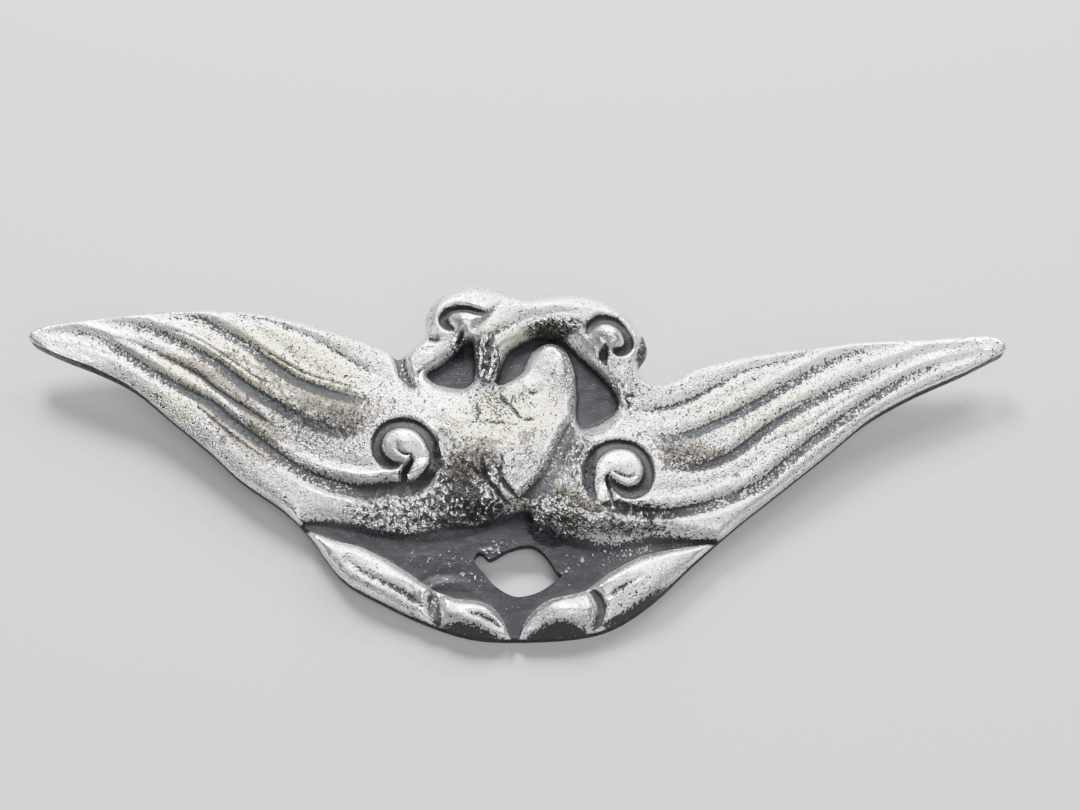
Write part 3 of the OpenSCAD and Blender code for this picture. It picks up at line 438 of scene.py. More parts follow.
        [8.3, -14.5, 0.26, 0.9], [7.9, -15.7, 0.2, 0.75]]),
    "line on the left outer lobe": (0.6, 0.6, [
        [-16.1, -9.4, 0.06, 0.1], [-13.9, -11, 0.12, 0.24], [-11.1, -12.4, 0.15, 0.28],
        [-8.8, -13.9, 0.15, 0.35]]),
    "line on the right outer lobe": (0.35, 0.35, [
        [8.9, -13.2, 0.08, 0.15], [9.6, -12.7, 0.12, 0.25], [10.5, -12.1, 0.12, 0.25],
        [12.2, -11, 0.06, 0.1]]),
    "line on the left inner lobe": (0.4, 0.22, [
        [-4.55, -14.5, 0.08, 0.15], [-3.9, -14.85, 0.14, 0.35], [-3.1, -15.1, 0.16, 0.4],
        [-2, -15.8, 0.12, 0.35], [-1, -16.6, 0.05, 0.1]]),
    "long crease of the left breast": (0.3, 0.3, [
        [-1.6, 7.2, 0.03, 0.1], [-1.1, 6.7, 0.05, 0.3], [-0.5, 6.1, 0.04, 0.16], [0, 5.5, 0.05, 0.3],
        [0.5, 4.9, 0.04, 0.16], [1.1, 4.7, 0.04, 0.24], [2.4, 5, 0.03, 0.06]]),
    "right crease of the left breast": (0.3, 0.3, [
        [0.9, 8.1, 0.03, 0.12], [1.7, 7.8, 0.05, 0.24], [2.5, 8.1, 0.03, 0.14]]),
    "left crease of the left breast": (0.3, 0.3, [
        [-3.9, 6.3, 0.03, 0.12], [-3.6, 5.4, 0.04, 0.18], [-3.9, 4.6, 0.03, 0.12]]),
    "coil of the left volute": (0.65, 0.5, [
        [-10.2, -2.1, 0.26, 0.34], [-8.8, -1, 0.36, 0.61], [-8, 0.2, 0.38, 0.68],
        [-7.8, 1.4, 0.38, 0.68], [-8.2, 2.6, 0.38, 0.68], [-8.9, 3.75, 0.38, 0.68],
        [-10.05, 4.6, 0.38, 0.68], [-11.5, 4.8, 0.42, 0.68], [-12.85, 4.3, 0.41, 0.68],
        [-13.6, 3.2, 0.34, 0.68], [-13.65, 1.9, 0.32, 0.68], [-13.1, 0.9, 0.34, 0.68],
        [-12.2, 0.4, 0.31, 0.61], [-11.5, 0.5, 0.17, 0.41]]),
    "coil of the right volute": (0.5, 0.65, [
        [7.6, -2.8, 0.21, 0.27], [7.15, -1.7, 0.34, 0.61], [7.15, -0.3, 0.41, 0.68],
        [7.5, 1.05, 0.41, 0.68], [8.5, 2.1, 0.41, 0.68], [9.9, 2.55, 0.41, 0.68],
        [11.45, 2.3, 0.36, 0.68], [12.5, 1.4, 0.32, 0.68], [13, 0.15, 0.31, 0.68],
        [12.95, -1, 0.36, 0.68], [12.35, -2, 0.42, 0.71], [11.4, -2.5, 0.44, 0.75],
        [10.4, -2.3, 0.38, 0.75], [9.6, -1.55, 0.21, 0.61], [9.25, -0.8, 0.09, 0.27]]),
    "level crease of the left breast": (0.3, 0.3, [
        [-6.3, 3.95, 0.03, 0.04], [-3.5, 4.3, 0.05, 0.12], [-1.4, 4.15, 0.07, 0.16],
        [0.2, 4.1, 0.04, 0.06]]),
    "short crease of the left breast": (0.3, 0.3, [
        [-3.9, 5.8, 0.04, 0.08], [-3.7, 4.6, 0.05, 0.12]])}

# %% [markdown]
# The coils, heads and lobes stand above the feathers. Their lines were read off the photograph as if
# all of a line lay at one level. The camera looks in at a slant, so a place that lies 1 mm higher than
# that shows 0.45 mm too far up, and each point is moved down by as much.

# %% Set the lines on the metal
view_slant = 0.45
# Levels at which lines were read, in mm
READ_AT = {
    "ring of the left head": 2.4, "slit under the left eye": 3, "line of the left beak": 2.8,
    "step beside the crossing neck": 2.8, "ring of the right head": 2.4, "crease in the right eye": 3.2,
    "slit under the right eye": 2.8, "slit under the left volute": 2.6, "crease in the left volute": 3,
    "slit in the right volute": 3, "crease in the right volute": 3.6, "coil of the left volute": 2.2,
    "coil of the right volute": 2.2, "line on the left inner lobe": 3,
    "collar between the left lobes": 2.2, "collar between the right lobes": 2.2,
    "line on the right outer lobe": 3}


def seated(rows, level):
    """Rows of a line moved to the height of its own floor: y' = y - 0.45 (swelling - depth - level).
    The swelling is taken at y', so y' is worked out four times, which is enough to settle."""
    p = np.array(rows, float)
    y = p[:, 1]
    for _ in range(4):
        y = p[:, 1] - view_slant * (swelled(p[:, 0], y, 1) - p[:, 3] - level)
    return np.column_stack([p[:, 0], y, p[:, 2:]])


lines = []
for name, (left, right, groove_rows) in GROOVES.items():
    if name in READ_AT:
        groove_rows = seated(groove_rows, READ_AT[name])
    lines.append((left, right, smooth_curve(groove_rows, False, 4)))
ring_names = [name for name in GROOVES if name.startswith(("coil", "ring"))]
# Depth at which a ring counts as cut in full, in mm
ring_depth = 0.68
print("carved lines:", len(lines), "of which rings:", len(ring_names), "and moved:", len(READ_AT))

# %% [markdown]
# ## The relief
# The front is the swelling minus what is carved. Where two cuts meet, taking the deeper one leaves a
# hard corner, and adding them digs too deep. The fourth root of the sum of fourth powers lies between
# and blends them, as a caster's wax does.

# %% Depths of the cuts
ground_level = 1.2


def window(x, y, curve, reach):
    """The points within reach of the curve's own box."""
    low = curve[:, :2].min(0) - reach
    high = curve[:, :2].max(0) + reach
    return (x > low[0]) & (x < high[0]) & (y > low[1]) & (y < high[1])


def edge_depth(x, y, full, grow, rim_share):
    """Depth cut by the outline: (full - share of the rim's height)(1 - rounded((distance - grow) /
    roll)), so the front rolls down to its rim over the width of the roll."""
    off, _, (rim, roll), _ = nearest(x, y, outline)
    return (full - rim_share * rim) * (1 - rounded((off - grow) / roll))


def ground_depth(x, y, full, grow, curve):
    """Depth cut by a sunk ground: all of full - ground_level inside, and beside it fading over its
    rounding. A narrow fade is mostly rounded, and one over 2.5 mm wide mostly eased."""
    depth = np.zeros(x.shape)
    close = window(x, y, curve, 3.2 + grow)
    off, _, (width,), _ = nearest(x[close], y[close], curve)
    off = np.where(inside(x[close], y[close], curve), 0, off - grow)
    soft = 0.15 + 0.6 * np.clip((width - 1.3) / 1.2, 0, 1)
    fade = 1 - (1 - soft) * rounded(off / width) - soft * eased(off / width)
    depth[close] = (full[close] - ground_level) * fade
    return depth


def line_depth(x, y, left_slope, right_slope, curve):
    """Depth cut by a groove, the cord beside it, and how dark the groove stays: fully at its floor,
    not at all past 65 % of a slope, and less where it is shallower than 0.25 mm. With share =
    (distance - half width) / slope, the depth fades as 1 - eased(share) over a slope of 1 mm or more
    and as 1 - 0.55 rounded(share) - 0.45 eased(share) over a narrower one. A groove with a wide slope
    also pushes up a cord of up to 0.27 mm past its narrow one, with a shallow hollow behind it."""
    depth, ridge, kept = np.zeros(x.shape), np.zeros(x.shape), np.zeros(x.shape)
    close = window(x, y, curve, 2.4 + curve[:, 2].max())
    off, left, (half_width, deep), _ = nearest(x[close], y[close], curve)
    slope = np.where(left, left_slope, right_slope)
    narrow = slope < 1
    share = (off - half_width) / slope
    side = np.where(narrow, 0.55 * rounded(share) + 0.45 * eased(share), eased(share))
    depth[close] = deep * (1 - side)
    kept[close] = np.clip((0.65 - side) / 0.5, 0, 1) * np.clip(deep / 0.25, 0, 1)
    if max(left_slope, right_slope) >= 1:
        past = off - half_width - slope
        cord = 0.34 * np.exp(-(((past - 0.1) / 0.45) ** 2)) - 0.16 * np.exp(-(((past - 1.1) / 0.4) ** 2))
        ridge[close] = np.where(narrow, np.minimum(deep, 0.8) * cord, 0)
    return depth, ridge, kept


def blended(depths):
    """The fourth root of the sum of the fourth powers."""
    return sum(np.maximum(d, 0) ** 4 for d in depths) ** 0.25


print("two cuts of 1 mm blend to", round(float(blended([np.ones(1), np.ones(1)])[0]), 2), "mm")

# %% [markdown]
# ## The marks of casting
# The metal is not smooth. It has a soft waviness from the mould, streaks along the feathers from
# polishing, a crazed patch on the left breast, grainy undersides, crumbs on the grounds, and a few
# blobs and pits. Bump alone would look flat at a slant, so they are modelled in the height itself,
# and bump only adds what is finer than the mesh.

# %% Marks. Columns: x, y, radius, rise
BLOBS = [
    [13, 14.3, 0.4, 0.35], [13.3, 13.4, 0.35, 0.4], [12.9, 12.4, 0.45, 0.3], [-8.6, 17, 0.22, -0.3],
    [-35.2, 9, 0.2, -0.2], [-21.5, 1.9, 0.22, -0.2], [-38.6, 14.9, 0.35, -0.2]]
# Crumbs of metal on the grounds. Columns: x, y, spread along x, spread along y, share
CRUMBS = [
    [-3, -8.8, 10, 1.7, 0.5], [-5.5, -9.9, 0.5, 0.25, 0.6], [-4.7, -10.3, 0.5, 0.3, 0.7],
    [-3.9, -10.8, 0.5, 0.3, 0.7], [-3.2, -11.3, 0.5, 0.3, 0.6], [-3.3, -7.9, 0.5, 0.3, 0.6],
    [-2.2, -7.9, 0.8, 0.3, 0.8], [-1.2, -7.4, 0.8, 0.25, 0.7], [5, -9.9, 0.4, 0.6, 0.7],
    [0.5, -13.8, 1.6, 0.5, 0.6], [6.6, -9.3, 0.5, 0.4, 0.5], [9, -9, 4, 1, 0.4],
    [13.2, 13.4, 0.7, 1.5, 0.9]]
# Grainy zones. Columns: x, y, spread along x, spread along y, roughness in mm, below 0 to smooth
ROUGH = [
    [-3.4, -0.8, 3, 2.6, 0.26], [-11.5, -4.4, 5, 2.4, 0.26], [3.6, -5, 2.2, 2.4, 0.3],
    [11, -5, 6, 2, 0.2], [4, 15, 3.4, 0.9, 0.28], [-3, 11.6, 0.9, 2.8, 0.28], [-6, 13, 1, 1.6, 0.16],
    [-2.6, 10.8, 1, 2, 0.2], [-6.4, -0.6, 1.6, 2.4, 0.18], [-18, 4.5, 7, 4, 0.14],
    [16, 1.5, 4, 2.5, 0.12], [8, -14, 8, 2, 0.06], [10.5, 8.5, 1.6, 3, 0.14], [6.4, 0.6, 2, 3.6, 0.2],
    [-28, 7.5, 9, 5, 0.08], [24, 4.5, 10, 5, 0.09], [-7, 2.2, 1.2, 2, 0.16],
    [-4.4, -4.4, 2.8, 1.3, 0.24], [1.6, 1.2, 1.8, 3.2, 0.13], [4.4, 10, 1.1, 2.6, 0.14],
    [-10.8, 2.2, 1.7, 1.6, -0.2], [10.9, 0.3, 1.7, 1.6, -0.2], [-5.4, 15.7, 1.2, 1, -0.2],
    [9.2, 14, 1.3, 1, -0.2], [-2, 5.6, 3.4, 1.8, -0.1]]
# Columns: x, y, spread along x, spread along y, depth of the crazing in mm
CRAZED = [[-3.0, 0.4, 2.8, 2.4, 0.18], [-1.2, -2.2, 1.6, 1.6, 0.12]]


def climb(x):
    """How far the feathers have climbed at x: nothing up to 13 mm, then 0.55 mm for each mm."""
    return 0.55 * np.maximum(0, np.abs(x) - 13)


def noise(x, y, grain, seed):
    """Random heights from -1 to 1 at the corners of squares of side grain. Between two corners the
    share is 6t^5 - 15t^4 + 10t^3, which leaves no crease that polished metal would show."""
    table = np.random.default_rng(seed).uniform(-1, 1, (128, 128))
    u, v = x / grain + 4096, y / grain + 4096
    i, j = np.floor(u).astype(int), np.floor(v).astype(int)
    s, t = u - i, v - j
    s, t = (w**3 * (w * (6 * w - 15) + 10) for w in (s, t))
    low = table[i % 128, j % 128] * (1 - s) + table[(i + 1) % 128, j % 128] * s
    high = table[i % 128, (j + 1) % 128] * (1 - s) + table[(i + 1) % 128, (j + 1) % 128] * s
    return low * (1 - t) + high * t


def zones(x, y, rows):
    """The sum of soft spots: each row's last column times e to the minus (distance / spread)^2."""
    return sum(r[4] * np.exp(-(((x - r[0]) / r[2]) ** 2) - ((y - r[1]) / r[3]) ** 2) for r in rows)


def crumbs(x, y):
    """Small grains, 1 where the share of a zone plus two noises goes past 1.05 and 0 below 0.9."""
    grains = 0.55 * noise(x, y, 0.26, 21) + 0.4 * noise(x, y, 0.17, 22)
    return eased((zones(x, y, CRUMBS) + grains - 0.9) / 0.15)


def cast_marks(x, y):
    """Waviness at 3 mm and 0.9 mm, streaks four times longer than wide along the feathers, crazing where
    CRAZED says, a grain of 1.2 times what ROUGH has above 0.06 mm, the blobs, and crumbs of 0.08 mm."""
    along = y - climb(x)
    rise = 0.05 * noise(x, y, 3.0, 1) + 0.02 * noise(x, y, 0.9, 2)
    rise = rise + 0.012 * noise(x / 4, along, 0.45, 3)
    cracks = 1 - 2 * np.abs(noise(x, y, 1.1, 4) + 0.5 * noise(x, y, 0.5, 5))
    rise = rise + zones(x, y, CRAZED) * cracks
    grit = 0.8 * noise(x, y, 0.42, 6) + 0.3 * noise(x, y, 1.3, 7)
    rise = rise + 1.2 * np.maximum(0, zones(x, y, ROUGH) - 0.06) * grit
    rise = rise + zones(x, y, [[bx, by, radius, radius, height] for bx, by, radius, height in BLOBS])
    return rise + 0.08 * crumbs(x, y)


print("blobs and pits:", len(BLOBS), "rough zones:", len(ROUGH))

# %% [markdown]
# ## Front and back
# A casting has a nearly even wall, so that it cools without flaws and isn't heavy. Behind a raised
# form its back is hollow. The back could be the front moved down, but then every fine groove would
# show there as a ridge. So only the outline and the grounds are cut again, drawn in by the wall.

# %% Front and back heights
wall = 1.2
thinnest = 0.7


def front_height(x, y):
    """Swelling minus the blended cuts, plus the marks. Also returns the swelling, the depth of all
    cuts but the outline's, how dark the lines stay, and the shares of full depth that the grounds
    and the rings have."""
    full = swelled(x, y, 1)
    rim = edge_depth(x, y, full, 0, 1)
    sunk = [ground_depth(x, y, full, 0, c) for c in grounds]
    cut, ridge, kept = zip(*[line_depth(x, y, *g) for g in lines])
    ring = [cut[k] for k, g in enumerate(GROOVES) if g in ring_names]
    full = full + sum(ridge)
    height = full - blended([rim] + sunk + list(cut)) + cast_marks(x, y)
    ground_share = np.minimum(1, blended(sunk) / (full - ground_level))
    ring_share = np.minimum(1, blended(ring) / ring_depth)
    all_cuts = blended(sunk + list(cut))
    return np.maximum(thinnest, height), full, all_cuts, np.max(kept, 0), ground_share, ring_share


def back_height(x, y, front):
    """0.85 of the swelling less the wall, minus the outline moved inwards and the grounds moved
    outwards by the wall, and never closer to the front than the thinnest metal."""
    full = swelled(x, y, 0.85)
    cuts = [edge_depth(x, y, full, wall, 0)]
    cuts += [ground_depth(x, y, full, wall, c) for c in grounds]
    return np.clip(full - wall - blended(cuts), 0, np.maximum(0, front - thinnest))


print("front height of a feather:", np.round(front_height(np.array([25.0]), np.array([9.5]))[0], 2))

# %% [markdown]
# ## The mesh
# A relief could be a displaced grid, but a grid's edge is a staircase and it has no hole. So the cells
# whose middle is metal are kept, the points on their border are moved onto the nearest place of the
# outline or the hole, and walls join the front to the back. The rows of the grid climb along the wings
# with the feathers, and then fewer of them are needed to follow a groove.

# %% The grid and its metal cells
row_step = 0.14
middle_step = 0.162
wing_step = 0.23
middle_reach = 15
wing_reach = 50.2


def grid_lines(low, high, step):
    """Evenly spaced values from low to high, at most one step apart."""
    return np.linspace(low, high, int(np.ceil((high - low) / step)) + 1)


middle_lines = grid_lines(0, middle_reach, middle_step)
wing_lines = grid_lines(middle_reach, wing_reach, wing_step)
half = np.concatenate([middle_lines, wing_lines[1:]])
columns = np.concatenate([-half[:0:-1], half])
rows = grid_lines(outline[:, 1].min() - 0.3, outline[:, 1].max() + 0.3, row_step)
grid_x, grid_v = np.meshgrid(columns, rows)
grid_y = grid_v + climb(grid_x)
middle_x = (grid_x[:-1, :-1] + grid_x[1:, 1:]) / 2
middle_y = (grid_v[:-1, :-1] + grid_v[1:, 1:]) / 2 + climb(middle_x)
metal = inside(middle_x, middle_y, outline) & ~inside(middle_x, middle_y, hole)
padded = np.pad(metal, 1)
touching = padded[:-1, :-1].astype(int) + padded[1:, :-1] + padded[:-1, 1:] + padded[1:, 1:]
used = touching > 0
border = used & (touching < 4)
print("cells:", int(metal.sum()), "border points:", int(border.sum()))

# %% Move the border points onto the edge
edges = [outline[:, :2], hole]
found = [nearest(grid_x[border], grid_y[border], edge) for edge in edges]
on_hole = found[1][0] < found[0][0]
foot = np.where(on_hole, found[1][3], found[0][3])
grid_x[border], grid_y[border] = foot
print("furthest move in mm:", round(float(np.where(on_hole, found[1][0], found[0][0]).max()), 2))

# %% Heights over the grid
front = np.zeros(grid_x.shape)
full, all_cuts = front.copy(), front.copy()
front[used], full[used], all_cuts[used], hollow, ground_share, ring_share = front_height(
    grid_x[used], grid_y[used])
back = np.zeros(grid_x.shape)
back[used] = back_height(grid_x[used], grid_y[used], front[used])
print("front from", round(float(front[used].min()), 2), "to", round(float(front.max()), 2), "mm")

# %% [markdown]
# The wall of the rim is up to 2.6 mm high and rough from the mould, and it is in plain sight below the
# lobes. So it gets four rows of points between front and back, each pushed in or out a little.

# %% Points and faces of the closed casting
def wall_points(top, bottom, parts):
    """Rows between top and bottom: top (1 - s) + bottom s, pushed sideways by a noise of 0.07 mm that
    fades to nothing at both ends by 4 s (1 - s)."""
    made = []
    for s in np.arange(1, parts) / parts:
        p = top * (1 - s) + bottom * s
        push = 0.28 * s * (1 - s)
        p[:, 0] += push * noise(p[:, 0] * 2 + 7 * p[:, 2], p[:, 1] * 2, 0.9, 11)
        p[:, 1] += push * noise(p[:, 0] * 2, p[:, 1] * 2 + 7 * p[:, 2], 0.9, 12)
        made.append(p)
    return np.vstack(made)


def split_cells(a, b, c, d, level, place):
    """Two triangles for each cell abcd. Inside, the split runs along the more level diagonal, and on
    the border it leaves the smaller triangle larger."""
    def area(p, q, r):
        u, v = place[q] - place[p], place[r] - place[p]
        return u[:, 0] * v[:, 1] - u[:, 1] * v[:, 0]

    flat = np.abs(level[a] - level[c]) < np.abs(level[b] - level[d])
    wide = np.minimum(area(a, b, c), area(a, c, d)) > np.minimum(area(a, b, d), area(b, c, d))
    on_border = at_border[a] | at_border[b] | at_border[c] | at_border[d]
    rising = np.where(on_border, wide, flat)[:, None]
    first = np.where(rising, np.stack([a, b, c], 1), np.stack([a, b, d], 1))
    second = np.where(rising, np.stack([a, c, d], 1), np.stack([b, c, d], 1))
    return np.vstack([first, second])


# %% Number the points and split the front
number = np.cumsum(used).reshape(used.shape) - 1
count = int(used.sum())
flat_place = np.stack([grid_x[used], grid_y[used]], 1)
at_border = border[used]
j, i = np.nonzero(metal)
corner = [number[j, i], number[j, i + 1], number[j + 1, i + 1], number[j + 1, i]]
top_faces = split_cells(*corner, front[used], flat_place)
print("triangles of the front:", len(top_faces))

# %% Points of the front, the back and the rim's wall
border_number = np.cumsum(at_border) - 1
border_count = int(at_border.sum())
wall_parts = 5
top_rim = np.column_stack([flat_place, front[used]])[at_border]
low_rim = np.column_stack([flat_place, back[used]])[at_border]
points = np.vstack([
    np.column_stack([flat_place, front[used]]),
    np.column_stack([flat_place, back[used]]),
    wall_points(top_rim, low_rim, wall_parts)])
print("points of the wall:", len(points) - 2 * count)


# %% [markdown]
# The back is plain and out of sight, so its inner cells are joined two by two. Where coarse squares
# meet fine cells, a fan of triangles takes in every point of the fine side, so no seam stays open.

# %% Faces of the wall and the back
def wall_row(k, n):
    """The number of the wall point under the front point n, k rows down of wall_parts."""
    if k == 0:
        return n
    if k == wall_parts:
        return n + count
    return 2 * count + (k - 1) * border_count + border_number[n]


def coarse_back(cells):
    """Faces of the back, where a block of two by two inner cells becomes one square. A block whose
    neighbour stays fine gets the middle of that side too, as a fan of triangles round its centre."""
    tall, wide = cells.shape[0] // 2 * 2, cells.shape[1] // 2 * 2
    inner = ~border[:-1, :-1] & ~border[1:, :-1] & ~border[:-1, 1:] & ~border[1:, 1:] & cells
    block = inner[:tall, :wide].reshape(tall // 2, 2, wide // 2, 2).all(axis=(1, 3))
    fine = cells.copy()
    fine[:tall, :wide] &= ~np.kron(block, np.ones((2, 2), bool))
    row, col = np.nonzero(fine)
    made = [split_cells(*(number[row + r, col + c] for r, c in ((0, 0), (0, 1), (1, 1), (1, 0))),
                        back[used], flat_place)]
    ring = np.pad(block, 1)
    alone = [~ring[:-2, 1:-1], ~ring[1:-1, 2:], ~ring[2:, 1:-1], ~ring[1:-1, :-2]]
    plain = block & ~np.any(alone, 0)
    row, col = 2 * np.array(np.nonzero(plain))
    a, b, c, d = (number[row + r, col + k] for r, k in ((0, 0), (0, 2), (2, 2), (2, 0)))
    made += [np.stack([a, b, c], 1), np.stack([a, c, d], 1)]
    corners = [(0, 0), (0, 2), (2, 2), (2, 0)]
    for side, lonely in enumerate(alone):
        (r0, c0), (r1, c1) = corners[side], corners[(side + 1) % 4]
        for split in (True, False):
            row, col = 2 * np.array(np.nonzero(block & ~plain & (lonely == split)))
            centre, p, q = number[row + 1, col + 1], number[row + r0, col + c0], number[row + r1, col + c1]
            if split:
                m = number[row + (r0 + r1) // 2, col + (c0 + c1) // 2]
                made += [np.stack([centre, p, m], 1), np.stack([centre, m, q], 1)]
            else:
                made.append(np.stack([centre, p, q], 1))
    return np.vstack(made)


wall_faces = []
sides = [(0, 1, padded[:-2, 1:-1]), (1, 2, padded[1:-1, 2:]),
         (2, 3, padded[2:, 1:-1]), (3, 0, padded[1:-1, :-2])]
for start, end, neighbour in sides:
    open_side = ~neighbour[j, i]
    p, q = corner[start][open_side], corner[end][open_side]
    for k in range(wall_parts):
        p0, q0, p1, q1 = wall_row(k, p), wall_row(k, q), wall_row(k + 1, p), wall_row(k + 1, q)
        wall_faces += [np.stack([p0, p1, q0], 1), np.stack([q0, p1, q1], 1)]
faces = np.vstack([top_faces, coarse_back(metal)[:, ::-1] + count] + wall_faces)
in_faces, faces = np.unique(faces, return_inverse=True)
faces = faces.reshape(-1, 3)
print("points:", len(in_faces), "triangles:", len(faces))

# %% [markdown]
# ## Where the casting shines and where it is dark
# The patina was rubbed off by wear. Wear reaches what stands out from its surroundings, so it is
# worked out from the shape: the height minus the same height smoothed is high on a crest and low in a
# hollow. Blender's Pointiness gives that too, but only at the scale of the mesh. Here one smoothing
# reaches over half a millimetre and another over a whole one. The outline's roll would spoil the
# measure, so it is left out here.

# %% Wear worked out from the form, and painted light and shade from its slopes
def softened(height, mask, rounds):
    """Averages each place with its neighbours, many rounds over, first along x and then along y, with
    shares 1, 2, 1. Places outside the mask have no weight."""
    total, weight = height * mask, mask.astype(float)
    for _ in range(rounds):
        for axis in (0, 1):
            total = (np.roll(total, 1, axis) + 2 * total + np.roll(total, -1, axis)) / 4
            weight = (np.roll(weight, 1, axis) + 2 * weight + np.roll(weight, -1, axis)) / 4
    return total / np.maximum(weight, 1e-6)


form = full - all_cuts
crest = (form - softened(form, used, 14)) + 0.6 * (form - softened(form, used, 60))
slope_up = np.gradient(softened(form, used, 4), rows, axis=0)
# Slopes that face the camera, away from the lights, are kept as painted shade, and slopes that face the
# lights as painted light (lit_side).
painted_underside_shade = np.clip(1.1 * slope_up[used], 0, 1)
lit_side = np.clip(-1.1 * slope_up[used], 0, 1)
print("crest from", round(float(crest[used].min()), 2), "to", round(float(crest[used].max()), 2))

# %% Rims, grounds and crumbs
rim_reach = 0.9
lowest_worn = 1.6
off_outline = nearest(grid_x[used], grid_y[used], outline)[0]
rim_wear = np.exp(-((off_outline / rim_reach) ** 2)) * (form[used] > lowest_worn)
sunk = eased((ground_share - 0.6) / 0.35)
hollow = hollow * (1 - eased(2 * ground_share))
# Hollows that the rubbing did reach. Columns: x, y, spread along x, spread along y, share
RUBBED = [
    [4.7, 0, 1.8, 3.6, 0.4], [-2.9, 12, 1.2, 3, 0.5], [2, 15.8, 4, 1, 0.5], [-6, 3, 1.9, 1.9, 0.8],
    [13, -7.9, 5, 1.3, 0.7]]
rubbed = np.minimum(1, zones(grid_x[used], grid_y[used], RUBBED))
hollow = hollow * (1 - rubbed)
sunk = sunk * (1 - 0.6 * rubbed)
ground = np.maximum(sunk, 0.8 * eased((ring_share - 0.25) / 0.5))
bright = crumbs(grid_x[used], grid_y[used])
ground = ground * (1 - 0.45 * bright)
crest[used] += 0.15 * bright
rough = np.clip(zones(grid_x[used], grid_y[used], ROUGH) / 0.16, 0, 1.3)
print("share of points on dark ground:", round(float((ground > 0.5).mean()), 2))

# %% [markdown]
# Dirt and patina have a history as well as a cause. A finger or a cloth reaches one hollow and misses
# the next, and polish dries in a corner. No formula gives that, so such places are listed one by one,
# as soft spots and as lines, and the noises of the finish break up their limits. The patina tables also
# paint shade on fronts and lower sides that face away from the lights, and below 0 they paint
# highlights on the wing tips and edges, the domes, the neck and the heads.

# %% Where dirt has stayed. Columns: x, y, spread along x, spread along y, amount
DIRT = [
    [-17.5, 5.6, 5.5, 3, 0.9], [-22, 8.5, 5, 3, 0.6], [-30, 3.6, 4, 2, 0.3], [-27, 12, 7, 3, 0.4],
    [-33, 10, 8, 3, 0.3], [-4.2, -0.2, 2.6, 2.2, 1], [-6.5, -5.6, 2.6, 0.9, 0.8],
    [2.5, -3.8, 3.5, 1.6, 0.6], [8.5, -5.6, 7, 1.4, 0.4], [6.6, 0.6, 1.4, 2.6, 0.7],
    [16.5, 1.6, 3.5, 2, 0.5], [4, 15, 4, 1.2, 0.6], [-2.9, 12, 1.2, 2.6, 0.6], [2.4, 3.4, 0.9, 0.7, 1],
    [0.9, 2.7, 0.8, 0.8, 1.1], [-2.2, 2.1, 1.8, 0.6, 1], [-7.2, 3.2, 0.9, 0.9, 0.9],
    [-9.5, -11.6, 3, 1, 0.4], [10, 6.5, 2.5, 2, 0.4], [-2.6, 10.8, 0.9, 1.8, 0.7],
    [-6.2, -0.6, 1.4, 2, 0.7], [13.5, 1, 3, 2, 0.6], [-5, 4.5, 3, 1.5, -0.3], [19, 1.6, 2.5, 0.8, 0.5],
    [26, 4.6, 3, 0.8, 0.4]]
# Cream tarnish, same columns
CREAM = [
    [-27, 12, 8, 4, 1], [-20, 9, 5, 4, 0.8], [24, 6, 10, 5, 0.7], [-33, 8, 6, 5, 0.6],
    [0, 14.5, 6, 2.5, 0.6], [-2.5, 4.4, 4.6, 2.4, 1.9], [1.5, 7, 2.5, 2.2, 1.1]]
# Patina that the rubbing did not reach, with painted shade on fronts and lower sides that face away from
# the lights; below 0 it brightens, as painted highlight on the wing tips and upper edges, the domes, the
# neck and the heads. Same columns
SHADE = [
    [-2.2, -3.6, 3, 1.3, 0.6], [3.6, 14.6, 3.2, 0.9, 0.8], [-3, 12.2, 0.8, 2.6, 1],
    [-6.2, 12.9, 1.3, 1.2, 0.7], [9.4, 10.9, 1.2, 0.9, 0.6], [10.2, 8.8, 0.7, 1.8, 0.6],
    [-3.8, -0.6, 2.6, 2.2, 0.55], [6.8, 13, 1, 1.2, 0.8], [-3.1, 16.2, 0.8, 0.8, 0.9],
    [8.8, 12, 0.5, 0.9, 1], [13.2, 13.4, 0.5, 1.6, 1.2], [4.2, -1.2, 0.9, 3.4, 0.5],
    [6.6, 1, 1.5, 3.2, 0.6], [43, 13.6, 7, 2.4, -1.5], [-44, 15.2, 6, 1.8, -0.8],
    [-48.6, 15, 2.2, 1.2, -0.9], [5, 17.8, 7, 1.4, -0.5], [-18, 13.5, 9, 1.4, -0.3],
    [20, 10.5, 9, 1.6, -0.5], [-2.5, 4.6, 4, 2, 0.9], [-1.5, 7.6, 4.5, 2, 1], [11.6, 15.4, 1.1, 1.9, -2],
    [9.5, 17.9, 2.5, 0.8, -0.7], [-26, 8, 10, 4.5, 0.35], [-9, -3.6, 6, 1.6, 0.4],
    [6.5, -2.4, 2.5, 1.6, 0.35], [-4.4, -3, 2.6, 1.6, 0.6], [2.6, 1.5, 1.8, 3.5, -0.3],
    [-5.5, 15.6, 1.5, 1, -2], [9.1, 13.9, 1.6, 1.1, -2], [-2.6, 10.8, 0.9, 1.8, 1],
    [-6.4, -1.4, 1.4, 1.6, 0.4], [-7, 1.8, 0.9, 1.6, -0.6], [-10.8, 2.9, 1.3, 1.2, -1],
    [10.9, 1.2, 1.3, 1.2, -1], [-16, 4, 4, 3, 0.4], [13.5, -0.5, 3, 2.6, 0.6]]

